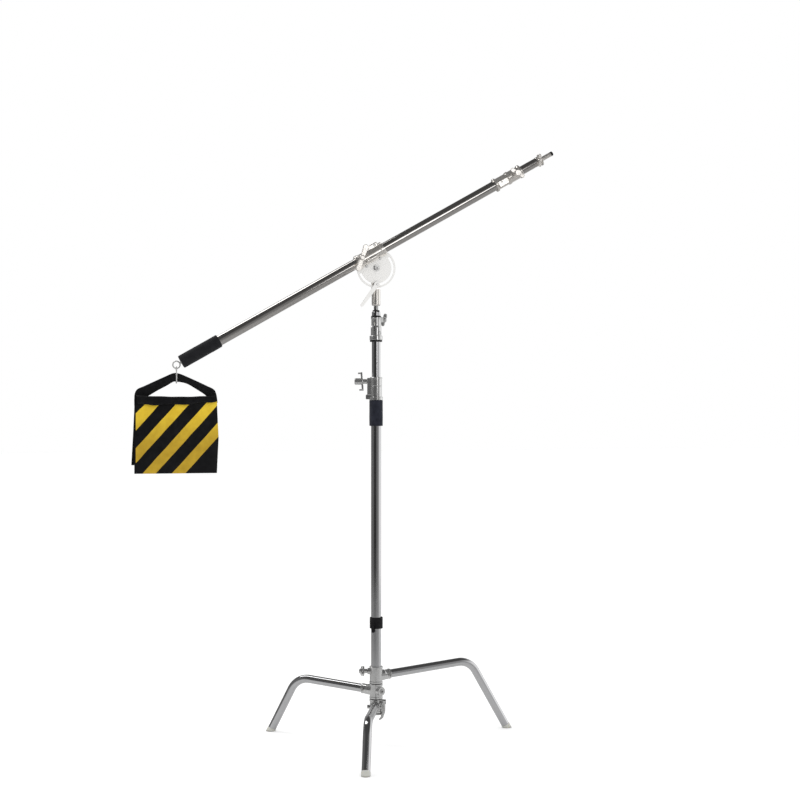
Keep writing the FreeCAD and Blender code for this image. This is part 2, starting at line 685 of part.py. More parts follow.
def top_spigot():
    """The 5/8 inch stud: a plug in riser 2 and a grooved pin in the head's socket."""
    z1 = RISER2_Z[1]
    plug_r = RISER2_R - RISER2_WALL
    top = SOCKET_Z[0] + 42.0
    return turned([
        (0, z1 - 40.0), (plug_r - 0.8, z1 - 40.0), (plug_r, z1 - 39.0), (plug_r, z1), (SPIGOT_R, z1),
        (SPIGOT_R, SOCKET_Z[0] + 16.0), (SPIGOT_R - 2.0, SOCKET_Z[0] + 18.0),
        (SPIGOT_R - 2.0, SOCKET_Z[0] + 28.0),
        (SPIGOT_R, SOCKET_Z[0] + 30.0), (SPIGOT_R, top - 1.0), (SPIGOT_R - 1.0, top), (0, top),
    ])


# ---- tilting head -------------------------------------------------------------------------------


def head_bracket():
    """The socket on the spigot and the cast plate behind the disc, which carries the pivot."""
    z0, z1 = SOCKET_Z
    socket = turned([
        (0, z0), (HEAD_SOCKET_R - 2.2, z0), (HEAD_SOCKET_R, z0 + 3.0), (HEAD_SOCKET_R, z1 - 2.0),
        (HEAD_SOCKET_R - 2.0, z1), (0, z1),
    ])
    neck = box((-15.0, 0.0, z1 - 14.0), (15.0, BRACKET_Y[1], z1 + 6.0))
    plate = rounded_plate(((0, PIVOT_Z, 16.0), (0, LOCK_Z - 4.0, 15.0)), BRACKET_Y[0], BRACKET_Y[1])
    foot = box((-15.0, BRACKET_Y[0], z1 - 14.0), (15.0, BRACKET_Y[1], LOCK_Z))
    hub_back = cylinder(12.0, 6.0, (0, BRACKET_Y[1] - 0.5, PIVOT_Z), (0, 1, 0))
    screw_boss = radial(cylinder(7.0, 10.0, (12.0, 0, 0), (1, 0, 0)), SOCKET_SCREW_AZIMUTH, SOCKET_SCREW_Z)
    neck = neck.cut(cylinder(DISC_R + 2.0, 40.0, (0, BRACKET_Y[0] - 40.0, PIVOT_Z), (0, 1, 0)))
    body = fuse([socket, neck, plate, foot, hub_back, screw_boss])
    bore = cylinder(SPIGOT_R + FIT, 44.0, (0, 0, z0 - 1.0))
    pivot_hole = cylinder(PIVOT_BOLT_R, 60.0, (0, -20.0, PIVOT_Z), (0, 1, 0))
    lock_hole = cylinder(LOCK_BOLT_R, 40.0, (0, 0.0, LOCK_Z), (0, 1, 0))
    screw_hole = cylinder(SOCKET_SCREW_R + FIT, 30.0, (SPIGOT_R - 1.0, 0, 0), (1, 0, 0))
    screw_hole = radial(screw_hole, SOCKET_SCREW_AZIMUTH, SOCKET_SCREW_Z)
    return body.cut(bore).cut(pivot_hole).cut(lock_hole).cut(screw_hole)


def pivot_bolt():
    """The centre bolt, fixed in the bracket, with its washer and its nut behind."""
    y0 = DISC_Y[0] - GAP
    head = cylinder(8.5, 5.0, (0, y0 - 7.0, PIVOT_Z), (0, 1, 0))
    head = head.makeFillet(1.0, [e for e in head.Edges if e.CenterOfMass.y < y0 - 6.0])
    hexagon = Part.makePolygon([
        Vector(4.0 * math.cos(math.radians(60 * i)), y0 - 7.1, PIVOT_Z + 4.0 * math.sin(math.radians(60 * i)))
        for i in range(7)
    ])
    head = head.cut(Part.Face(hexagon).extrude(Vector(0, 3.0, 0)))
    flange = cylinder(11.5, 2.0, (0, y0 - 2.0, PIVOT_Z), (0, 1, 0))
    nut_y = BRACKET_Y[1] + 5.5
    shank = cylinder(PIVOT_BOLT_R, nut_y - y0 + 2.0, (0, y0 - 2.0, PIVOT_Z), (0, 1, 0))
    stud = cylinder(PIVOT_BOLT_R, 9.0, (0, nut_y, PIVOT_Z), (0, 1, 0))
    nut = Part.makePolygon([
        Vector(9.0 * math.cos(math.radians(60 * i)), nut_y, PIVOT_Z + 9.0 * math.sin(math.radians(60 * i)))
        for i in range(7)
    ])
    nut = Part.Face(nut).extrude(Vector(0, 7.0, 0)).cut(stud)
    return group([fuse([head, flange, shank, stud]), nut])


def slot_lock_bolt():
    """The carriage bolt that runs forward through the bracket and the disc's slot, with its washer."""
    y_back = BRACKET_Y[1]
    head = cylinder(8.0, 4.0, (0, y_back, LOCK_Z), (0, 1, 0))
    head = head.makeFillet(1.2, [e for e in head.Edges if e.CenterOfMass.y > y_back + 3.0])
    shank = cylinder(LOCK_BOLT_R, y_back + 24.0, (0, -24.0, LOCK_Z), (0, 1, 0))
    return group([fuse([head, shank]), slot_washer()])


def slot_washer():
    """The thick washer that presses on the disc beside the slot."""
    y = DISC_Y[0] - GAP
    washer = cylinder(10.5, WASHER_THICK, (0, y - WASHER_THICK, LOCK_Z), (0, 1, 0))
    return washer.cut(cylinder(LOCK_BOLT_R, 60.0, (0, -30.0, LOCK_Z), (0, 1, 0)))


def slot_lever():
    """The clamping lever: a round nut boss and a long tapered handle cranked away from the socket."""
    y1 = DISC_Y[0] - 2 * GAP - WASHER_THICK
    nut = cylinder(10.0, 14.5, (0, y1 - 14.5, 0), (0, 1, 0))
    nut = nut.makeFillet(1.5, [e for e in nut.Edges if e.CenterOfMass.y < y1 - 12.0])
    arm = rounded_plate(((0, 0, 8.4), (96.0, 0, 5.2)), y1 - 12.5, y1 - 6.5)
    arm = arm.makeFillet(2.0, arm.Edges).rotated(Vector(0, 0, 0), UP, -7.0)
    lever = fuse([nut, arm]).cut(cylinder(LOCK_BOLT_R + FIT, 60.0, (0, -40.0, 0), (0, 1, 0)))
    lever = lever.rotated(Vector(0, 0, 0), Vector(0, 1, 0), -LEVER_ANGLE)
    return lever.translated(Vector(0, 0, LOCK_Z))


def socket_screw():
    """The knurled screw behind the socket that locks the head on its spigot."""
    shank = cylinder(SOCKET_SCREW_R, 22.5 - SPIGOT_R - 0.3, (SPIGOT_R + 0.3, 0, 0), (1, 0, 0))
    knob = upright_to_x(rod(9.0, 22.4, 34.0, 1.2))
    grooves = []
    for i in range(12):
        a = math.radians(30 * i)
        grooves.append(cylinder(1.3, 20.0, (20.0, 9.6 * math.cos(a), 9.6 * math.sin(a)), (1, 0, 0)))
    knob = knob.cut(group(grooves))
    return radial(fuse([shank, knob]), SOCKET_SCREW_AZIMUTH, SOCKET_SCREW_Z)


# ---- disc and tube clamp ------------------------------------------------------------------------


def arc_slot(r_in, r_out, half_angle, y0, y1):
    """A curved slot about the pivot, centred on the side away from the boom, with round ends."""
    middle = 0.5 * (r_in + r_out)
    outer = Part.makeCylinder(r_out, y1 - y0, Vector(0, y0, 0), Vector(0, 1, 0))
    inner = Part.makeCylinder(r_in, y1 - y0, Vector(0, y0, 0), Vector(0, 1, 0))
    band = outer.cut(inner)
    wedge_half = 180.0 - half_angle
    a = math.radians(wedge_half)
    far = 3.0 * r_out
    wedge = Part.makePolygon([
        Vector(0, y0, 0), Vector(far * math.sin(a), y0, far * math.cos(a)), Vector(0, y0, far * 1.5),
        Vector(-far * math.sin(a), y0, far * math.cos(a)), Vector(0, y0, 0),
    ])
    band = band.cut(Part.Face(wedge).extrude(Vector(0, y1 - y0, 0)))
    ends = []
    for side in (-1, 1):
        end_x = side * middle * math.sin(a)
        end_z = middle * math.cos(a)
        ends.append(cylinder(0.5 * (r_out - r_in), y1 - y0, (end_x, y0, end_z), (0, 1, 0)))
    return fuse([band] + ends)


def disc_screws(screw_maker=cap_screw):
    """The two screws that hold the disc on the clamp's tab."""
    screws = []
    for u, v in DISC_SCREWS:
        screw = screw_maker(2.5, 4.4, 3.0, 16.0).rotated(Vector(0, 0, 0), UP, -90)
        screws.append(on_pivot(screw.translated(Vector(u, DISC_Y[0] - 3.0, v))))
    return group(screws)


def pivot_disc():
    """The slotted disc: a raised centre, a thinner slotted rim, cut flat towards the boom."""
    y0, y1 = DISC_Y
    rim = cylinder(DISC_R, y1 - y0 - 2.0, (0, y0 + 1.0, 0), (0, 1, 0))
    rim = rim.makeFillet(1.2, [e for e in rim.Edges if e.Length > 100.0])
    centre = cylinder(SLOT_IN - 2.5, y1 - y0, (0, y0, 0), (0, 1, 0))
    centre = centre.makeFillet(0.8, [e for e in centre.Edges if e.Length > 100.0])
    disc = fuse([rim, centre])
    disc = disc.cut(arc_slot(SLOT_IN, SLOT_OUT, SLOT_HALF_ANGLE, y0 - 5.0, y1 + 5.0))
    disc = disc.cut(box((-200.0, -50.0, CHORD_V), (200.0, 50.0, 200.0)))
    disc = disc.cut(cylinder(PIVOT_BOLT_R + FIT, 60.0, (0, -30.0, 0), (0, 1, 0)))
    return on_pivot(disc).cut(disc_screws(screw_blank))


def clamp_body():
    """The cast tube clamp: a sleeve with end bands, a saddle down to the disc and two bosses."""
    u0, u1 = CLAMP_U
    sleeve = upright_to_x(turned([
        (BOOM_R - 4.0, u0), (24.6, u0), (25.4, u0 + 1.0), (25.4, u0 + 11.0), (23.0, u0 + 13.5), (23.0, -8.0),
        (23.8, -7.0), (23.8, 12.0), (23.0, 13.0), (23.0, u1 - 13.5), (25.4, u1 - 11.0), (25.4, u1 - 1.0),
        (24.6, u1), (BOOM_R - 4.0, u1),
    ]))
    saddle_low = CHORD_V - BOOM_OFFSET
    saddle = box((-40.0, DISC_Y[0], saddle_low), (42.0, TAB_Y[1], -10.0))
    tab_low = TAB_LOW_V - BOOM_OFFSET
    tab = box((-38.0, TAB_Y[0], tab_low), (39.0, TAB_Y[1], -10.0))
    tab = tab.makeFillet(4.0, [e for e in tab.Edges if e.CenterOfMass.z < tab_low + 0.1 and e.Length < 7.0])
    handle_boss = cylinder(12.0, -CLAMP_BOSS_Y, (CLAMP_HANDLE_U, CLAMP_BOSS_Y, CLAMP_HANDLE_V), (0, 1, 0))
    face_edges = [e for e in handle_boss.Edges if e.CenterOfMass.y < CLAMP_BOSS_Y + 1.0]
    handle_boss = handle_boss.makeFillet(1.2, face_edges)
    ears = box((-6.0, -13.0, 18.0), (44.0, 13.0, 33.0))
    ears = ears.makeFillet(3.0, [e for e in ears.Edges if e.CenterOfMass.z > 20.0])
    knuckle = upright_to_x(turned([
        (0, -22.0), (KNUCKLE_R - 0.8, -22.0), (KNUCKLE_R, -21.0), (KNUCKLE_R, 17.0), (KNUCKLE_R - 0.8, 18.0),
        (0, 18.0),
    ])).translated(Vector(0, KNUCKLE_Y, KNUCKLE_V))
    body = fuse([sleeve, saddle, tab, handle_boss, ears, knuckle])
    body = body.cut(cylinder(BOOM_R + FIT, 300.0, (-150.0, 0, 0), (1, 0, 0)))
    split = box((-6.5, -1.5, 10.0), (45.0, 1.5, 40.0))
    hole = cylinder(SCREW_R + FIT, 40.0, (CLAMP_HANDLE_U, -50.0, CLAMP_HANDLE_V), (0, 1, 0))
    pin_hole = cylinder(KNUCKLE_PIN_R, 60.0, (-30.0, KNUCKLE_Y, KNUCKLE_V), (1, 0, 0))
    disc_seat = box((-70.0, DISC_Y[0], -60.0), (70.0, DISC_Y[1], saddle_low))
    body = body.cut(split).cut(hole).cut(pin_hole).cut(disc_seat)
    return on_boom(body).cut(clamp_screws(screw_blank))


def clamp_screws(screw_maker=cap_screw):
    """The two cap screws across the clamp's split, the knuckle's pin and the disc's two screws."""
    screws = [disc_screws(screw_maker)]
    for u in CLAMP_SCREWS_U:
        screw = screw_maker(3.0, 5.0, 5.0, 24.0).rotated(Vector(0, 0, 0), UP, -90)
        screws.append(on_boom(screw.translated(Vector(u, -15.0, 25.5))))
    pin = cylinder(KNUCKLE_PIN_R, 44.0, (-24.0, KNUCKLE_Y, KNUCKLE_V), (1, 0, 0))
    screws.append(on_boom(pin))
    return group(screws)


def clamp_t_handle():
    """The tube clamp's long-winged handle, in front of the boom."""
    handle = t_handle("clamp", SCREW_R, -CLAMP_BOSS_Y - BOOM_R - 0.4)
    handle = handle.rotated(Vector(0, 0, 0), UP, -90)
    handle = handle.rotated(Vector(0, 0, 0), Vector(0, 1, 0), 19.0 + BOOM_ELEVATION)
    return on_boom(handle.translated(Vector(CLAMP_HANDLE_U, CLAMP_BOSS_Y, CLAMP_HANDLE_V)))


# ---- boom ---------------------------------------------------------------------------------------


def boom_tube():
    u0, u1 = BOOM_U
    return along_boom([
        (BOOM_R - BOOM_WALL, u0), (BOOM_R, u0), (BOOM_R, u1), (BOOM_R - BOOM_WALL, u1),
    ])


def boom_foam_grip():
    u0, u1 = BOOM_GRIP_U
    r = BOOM_GRIP_R
    return along_boom([
        (BOOM_R, u0 + 0.5), (r - 1.8, u0), (r - 0.5, u0 + 0.7), (r, u0 + 2.0), (r, u1 - 2.0),
        (r - 0.5, u1 - 0.7),
        (r - 1.8, u1), (BOOM_R, u1),
    ])


def boom_end_plug():
    u0 = BOOM_U[0]
    inside = BOOM_R - BOOM_WALL
    plug = along_boom([
        (0, u0 - 2.5), (BOOM_R - 2.0, u0 - 2.5), (BOOM_R - 0.4, u0 - 1.2), (BOOM_R - 0.4, u0),
        (inside, u0), (inside, u0 + 22.0), (0, u0 + 22.0),
    ])
    return plug.cut(eye_shank(0.0))


def eye_shank(extra):
    start = EYE_U + EYE_RING_R
    return on_boom(cylinder(3.0 + extra, BOOM_U[0] + 12.0 - start, (start, 0, 0), (1, 0, 0)))


def eye_bolt():
    """The welded eye screwed into the boom's low end."""
    eye = Part.makeTorus(EYE_RING_R, EYE_WIRE_R, Vector(EYE_U, 0, 0), Vector(0, 1, 0))
    root = upright_to_x(rod(4.6, EYE_U + EYE_RING_R + 1.0, BOOM_U[0] - 2.5, 0.5))
    return fuse([on_boom(eye), on_boom(root), eye_shank(0.0)])


def boom_handle_hole():
    return on_boom(cylinder(SCREW_R + FIT, 40.0, (BOOM_HANDLE_U, -45.0, 0), (0, 1, 0)))


def boom_collar():
    """The cast collar that locks the inner boom: three bands on a sleeve and a front boss."""
    u0, u1 = BOOM_COLLAR_U
    sleeve = along_boom([
        (BOOM_R, u0), (23.8, u0), (24.8, u0 + 1.0), (24.8, u0 + 7.0), (23.8, u0 + 8.0), (20.6, u0 + 9.5),
        (20.6, u0 + 50.0), (21.4, u0 + 52.0), (23.6, u0 + 53.0), (23.6, u0 + 60.0), (21.4, u0 + 61.5),
        (21.4, u1 - 9.5), (23.6, u1 - 8.0), (24.4, u1 - 7.0), (24.4, u1 - 1.0), (23.6, u1), (BOOM_R, u1),
    ])
    front = cylinder(14.5, -BOOM_BOSS_Y, (BOOM_HANDLE_U, BOOM_BOSS_Y, 0), (0, 1, 0))
    front = front.makeFillet(1.2, [e for e in front.Edges if e.CenterOfMass.y < BOOM_BOSS_Y + 1.0])
    pad = box((u0 + 9.0, -22.2, -16.0), (u0 + 50.0, -8.0, 6.0))
    pad = pad.makeFillet(2.0, [e for e in pad.Edges if e.CenterOfMass.y < -20.0])
    body = fuse([sleeve, on_boom(front), on_boom(pad)])
    body = body.cut(on_boom(cylinder(BOOM_R, 300.0, (u0 - 100.0, 0, 0), (1, 0, 0))))
    return body.cut(boom_handle_hole()).cut(boom_collar_screw(screw_blank))


def boom_collar_screw(screw_maker=cap_screw):
    """The small screw that pins the collar to the main boom tube."""
    screw = screw_maker(2.0, 3.6, 2.5, 5.0).rotated(Vector(0, 0, 0), UP, -90)
    return on_boom(screw.translated(Vector(BOOM_COLLAR_U[0] + 24.0, -23.4, 0)))


def boom_collar_bush():
    u1 = BOOM_COLLAR_U[1]
    bush = along_boom([
        (INNER_R + FIT, BOOM_U[1]), (BOOM_R, BOOM_U[1]), (BOOM_R, u1 - 0.4), (INNER_R + FIT, u1 - 0.4),
    ])
    return bush.cut(boom_handle_hole())


def boom_t_handle():
    """The inner boom's locking handle, facing forward from its collar."""
    handle = t_handle("boom", SCREW_R, -BOOM_BOSS_Y - INNER_R - 0.4)
    handle = handle.rotated(Vector(0, 0, 0), UP, -90)
    handle = handle.rotated(Vector(0, 0, 0), Vector(0, 1, 0), -62.0 + BOOM_ELEVATION)
    return on_boom(handle.translated(Vector(BOOM_HANDLE_U, BOOM_BOSS_Y, 0)))


# ---- inner boom and end fitting -----------------------------------------------------------------


def inner_boom_tube():
    u0, u1 = INNER_U
    return along_boom([
        (INNER_R - INNER_WALL, u0), (INNER_R, u0), (INNER_R, u1), (INNER_R - INNER_WALL, u1),
    ])


def inner_boom_glide():
    u0 = INNER_U[0]
    bore = BOOM_R - BOOM_WALL
    inside = INNER_R - INNER_WALL
    return along_boom([
        (inside - 1.5, u0 - 10.0), (bore - FIT - 0.8, u0 - 10.0), (bore - FIT, u0 - 8.5), (bore - FIT, u0),
        (inside, u0), (inside, u0 + 25.0), (inside - 1.5, u0 + 25.0),
    ])


def end_fitting():
    """The turned stud at the load end: a plug, a thin flange and the 5/8 inch pin."""
    u1 = INNER_U[1]
    inside = INNER_R - INNER_WALL
    body = along_boom([
        (0, u1 - 30.0), (inside, u1 - 30.0), (inside, u1), (INNER_R + 0.5, u1), (INNER_R + 1.0, u1 + 1.0),
        (INNER_R + 1.0, u1 + 10.0), (INNER_R, u1 + 11.5), (INNER_R, u1 + 13.5), (21.4, u1 + 14.5),
        (21.4, u1 + 17.0), (11.5, u1 + 18.0), (11.5, u1 + 22.0), (10.5, u1 + 23.0), (SPIGOT_R, u1 + 23.0),
        (SPIGOT_R, PIN_END_U - PIN_TIP), (0, PIN_END_U - PIN_TIP),
    ])
    return body.cut(tip_screw_hole())


def tip_screw_hole():
    return on_boom(cylinder(TIP_SCREW_R + FIT, 38.0, (INNER_U[1] + 5.5, -45.0, 0), (0, 1, 0)))


def pin_tip_cap():
    """The black rubber tip of the stud."""
    return along_boom([
        (0, PIN_END_U - PIN_TIP), (SPIGOT_R, PIN_END_U - PIN_TIP), (SPIGOT_R, PIN_END_U - 2.0),
        (SPIGOT_R - 0.6, PIN_END_U - 0.7), (SPIGOT_R - 2.0, PIN_END_U), (0, PIN_END_U),
    ])


def tip_wing_screw():
    """The wing screw in the end fitting, its wings upright."""
    handle = t_handle("tip", TIP_SCREW_R, 9.5)
    handle = handle.rotated(Vector(0, 0, 0), UP, -90)
    handle = handle.rotated(Vector(0, 0, 0), Vector(0, 1, 0), BOOM_ELEVATION)
    return on_boom(handle.translated(Vector(INNER_U[1] + 5.5, -INNER_R - 1.6, 0)))


# ---- hook and sandbag ---------------------------------------------------------------------------


def s_hook():
    """A bent-wire hook, plumb under the eye's centre: a loop through the eye, a shank and a J below."""
    eye = boom_point(EYE_U)
    top_z = eye.z - (EYE_RING_R - EYE_WIRE_R - HOOK_WIRE_R - 0.6) - HOOK_R
    low_z = HOOK_LOW_Z + HOOK_WIRE_R + HOOK_R

    def at(centre_z, degrees):
        a = math.radians(degrees)
        return Vector(eye.x, HOOK_R * math.cos(a), centre_z + HOOK_R * math.sin(a))

    wire = Part.Wire([
        Part.Arc(at(top_z, -40.0), at(top_z, 70.0), at(top_z, 180.0)).toShape(),
        Part.LineSegment(at(top_z, 180.0), at(low_z, 180.0)).toShape(),
        Part.Arc(at(low_z, 180.0), at(low_z, 280.0), at(low_z, 385.0)).toShape(),
    ])
    return swept(wire, HOOK_WIRE_R)


def bag_pouch(z_low, y0, y1, shift):
    """One flat fabric pouch as a plain slab with its upright edges rounded."""
    x = boom_point(EYE_U).x + BAG_SHIFT + shift
    half = 0.5 * BAG_WIDTH
    pouch = box((x - half, y0, z_low), (x + half, y1, BAG_TOP_Z - BAND_HEIGHT))
    edges = [e for e in pouch.Edges if abs(e.CenterOfMass.x - x) > half - 1.0 and e.Length > 100.0]
    return pouch.makeFillet(5.0, edges)


def sandbag_front_pouch():
    return bag_pouch(BAG_FRONT_Z, -POUCH_GAP - POUCH_THICK, -POUCH_GAP, 0.0)


def sandbag_rear_pouch():
    return bag_pouch(BAG_REAR_Z, POUCH_GAP, POUCH_GAP + POUCH_THICK, REAR_SHIFT)


def sandbag_saddle():
    """The folded panel that joins both pouches along their tops."""
    x = boom_point(EYE_U).x + BAG_SHIFT
    half = 0.5 * BAG_WIDTH
    depth = POUCH_GAP + POUCH_THICK - 2.0
    panel = box((x - half, -depth, BAG_TOP_Z - BAND_HEIGHT), (x + half, depth, BAG_TOP_Z))
    edges = [e for e in panel.Edges if e.CenterOfMass.z > BAG_TOP_Z - 1.0 and e.Length > 100.0]
    return panel.makeFillet(9.0, edges)



def sandbag_strap():
    """The carrying strap on edge: two limbs that meet in the hook and run down to the bag's corners."""
    x = boom_point(EYE_U).x
    points = [Vector(x + dx, -STRAP_HALF_THICK, BAG_TOP_Z + dz) for dx, dz in STRAP_OUTLINE]
    points.append(points[0])
    return Part.Face(Part.makePolygon(points)).extrude(Vector(0, 2 * STRAP_HALF_THICK, 0))


# ---- export -------------------------------------------------------------------------------------

NODES = {
    "base_sleeve": sleeve_with_hole,
    "hub_washers": hub_washers,
    "high_hub": high_hub,
    "mid_hub": mid_hub,
    "low_hub": low_hub,
    "high_leg_bolt": lambda: leg_bolt("high"),
    "mid_hub_bolts": mid_hub_bolts,
    "low_hub_bolts": low_hub_bolts,
    "release_lever": release_lever,
    "base_t_handle": base_t_handle,
    "lower_tube": lower_tube,
    "main_collar": main_collar,
    "main_collar_bush": main_collar_bush,
    "main_lug_bolt": main_lug_bolt,
    "column_foam_grip": column_foam_grip,
    "cable_strap": cable_strap,
    "column_t_handle": column_t_handle,
    "riser_1_tube": riser_1_tube,
    "riser_1_glide": riser_1_glide,
    "riser_collar": riser_collar,
    "riser_collar_bush": riser_collar_bush,
    "riser_collar_rings": riser_collar_rings,
    "riser_t_handle": riser_t_handle,
    "riser_2_tube": riser_2_tube,
    "riser_2_glide": riser_2_glide,
    "riser_2_cap_ring": riser_2_cap_ring,
    "top_spigot": top_spigot,
    "head_bracket": head_bracket,
    "pivot_bolt": pivot_bolt,
    "slot_lock_bolt": slot_lock_bolt,
    "slot_lever": slot_lever,
    "socket_screw": socket_screw,
    "pivot_disc": pivot_disc,
    "clamp_body": clamp_body,
    "clamp_screws": clamp_screws,
    "clamp_t_handle": clamp_t_handle,
    "boom_tube": boom_tube,
    "boom_foam_grip": boom_foam_grip,
    "boom_end_plug": boom_end_plug,
    "eye_bolt": eye_bolt,
    "boom_collar": boom_collar,
    "boom_collar_screw": boom_collar_screw,
    "boom_collar_bush": boom_collar_bush,
    "boom_t_handle": boom_t_handle,
    "inner_boom_tube": inner_boom_tube,
    "inner_boom_glide": inner_boom_glide,
    "end_fitting": end_fitting,
    "pin_tip_cap": pin_tip_cap,
    "tip_wing_screw": tip_wing_screw,
    "s_hook": s_hook,
    "sandbag_front_pouch": sandbag_front_pouch,
    "sandbag_rear_pouch": sandbag_rear_pouch,
    "sandbag_saddle": sandbag_saddle,
    "sandbag_strap": sandbag_strap,
}
for leg in LEGS:
    NODES[leg + "_leg_tube"] = lambda leg=leg: leg_tube(leg)
    NODES[leg + "_leg_foot"] = lambda leg=leg: leg_foot(leg)

os.makedirs("parts", exist_ok=True)
for node, make in NODES.items():
    shape = make()
    shape.exportStep("parts/" + node + ".step")
    solids = len(shape.Solids)
    print(node, "solids", solids, "valid", shape.isValid(), "volume", round(shape.Volume))
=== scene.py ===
"""Studio boom stand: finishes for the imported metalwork, foam grips, cable strap and the fabric sandbag.

Metres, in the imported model's frame: +Z up, the boom in the XZ plane, -Y towards the viewer.
"""
import json
import math

import bpy
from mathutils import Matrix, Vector, noise


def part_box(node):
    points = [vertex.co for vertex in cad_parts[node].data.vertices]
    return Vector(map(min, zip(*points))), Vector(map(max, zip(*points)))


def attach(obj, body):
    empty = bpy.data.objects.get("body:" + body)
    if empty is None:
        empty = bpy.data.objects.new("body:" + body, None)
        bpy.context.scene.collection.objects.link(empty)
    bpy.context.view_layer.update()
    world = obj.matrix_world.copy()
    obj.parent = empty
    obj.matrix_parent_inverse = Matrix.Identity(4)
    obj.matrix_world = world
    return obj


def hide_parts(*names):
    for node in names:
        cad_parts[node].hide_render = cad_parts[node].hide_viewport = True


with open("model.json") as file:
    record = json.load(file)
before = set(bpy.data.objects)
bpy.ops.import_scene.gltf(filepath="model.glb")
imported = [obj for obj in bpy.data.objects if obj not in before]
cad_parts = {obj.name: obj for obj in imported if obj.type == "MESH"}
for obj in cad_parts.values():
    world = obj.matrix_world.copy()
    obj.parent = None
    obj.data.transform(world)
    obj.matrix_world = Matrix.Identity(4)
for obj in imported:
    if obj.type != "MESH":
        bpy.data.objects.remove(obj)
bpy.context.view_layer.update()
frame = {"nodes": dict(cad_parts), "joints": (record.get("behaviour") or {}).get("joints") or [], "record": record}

MM = 0.001

# ---- camera and studio --------------------------------------------------------------------------

VIEW_TURN = math.radians(12.0)       # the camera looks along +Y turned this far towards +X
CAMERA_BACK = 5.295
CAMERA_SIDE = 0.084
CAMERA_HEIGHT = 1.202
LENS = 67.9
SENSOR = 36.0


def view_vector(right, away):
    """A level vector given as metres to the camera's right and away from it."""
    c, s = math.cos(VIEW_TURN), math.sin(VIEW_TURN)
    return Vector((right * c + away * s, -right * s + away * c, 0.0))


def make_camera():
    data = bpy.data.cameras.new("camera")
    data.lens = LENS
    data.sensor_width = SENSOR
    camera = bpy.data.objects.new("camera", data)
    camera.location = view_vector(CAMERA_SIDE, -CAMERA_BACK) + Vector((0, 0, CAMERA_HEIGHT))
    camera.rotation_euler = (math.radians(90.0), 0.0, -VIEW_TURN)
    bpy.context.scene.collection.objects.link(camera)
    bpy.context.scene.camera = camera


def soft_box(name, right, away, height, width, tall, power, target):
    """A soft box at a place given from the camera's side, aimed at a point on the stand."""
    data = bpy.data.lights.new(name, "AREA")
    data.shape = "RECTANGLE"
    data.size = width
    data.size_y = tall
    data.energy = power
    lamp = bpy.data.objects.new(name, data)
    lamp.location = view_vector(right, away) + Vector((0, 0, height))
    lamp.rotation_euler = (Vector(target) - lamp.location).to_track_quat("-Z", "Y").to_euler()
    lamp.visible_camera = False
    bpy.context.scene.collection.objects.link(lamp)


# What the chrome mirrors round the room at eye height: degrees from the camera, to its right, and brightness.
ROOM_BANDS = ((-180, 0.28), (-150, 0.22), (-131, 0.16), (-103, 0.14), (-78, 0.18), (-60, 0.12), (-45, 0.06),
              (-22, 0.03), (0, 0.06), (10, 0.12), (25, 0.20), (42, 0.20), (55, 0.30), (66, 0.52), (80, 0.76),
              (111, 1.08), (140, 0.86), (160, 0.50), (180, 0.28))
ROOM_CEILING = 0.07
CEILING_FROM = 0.35          # height on a unit ball where the walls start to darken
CEILING_FULL = 0.75
ROOM_BELOW = 0.30            # what shows through the thinned floor straight below
BELOW_FROM, BELOW_FULL = -0.62, -0.22
AMBIENT = 0.82


def world_node(tree, kind, **values):
    made = tree.nodes.new(kind)
    for key, value in values.items():
        setattr(made, key, value)
    return made


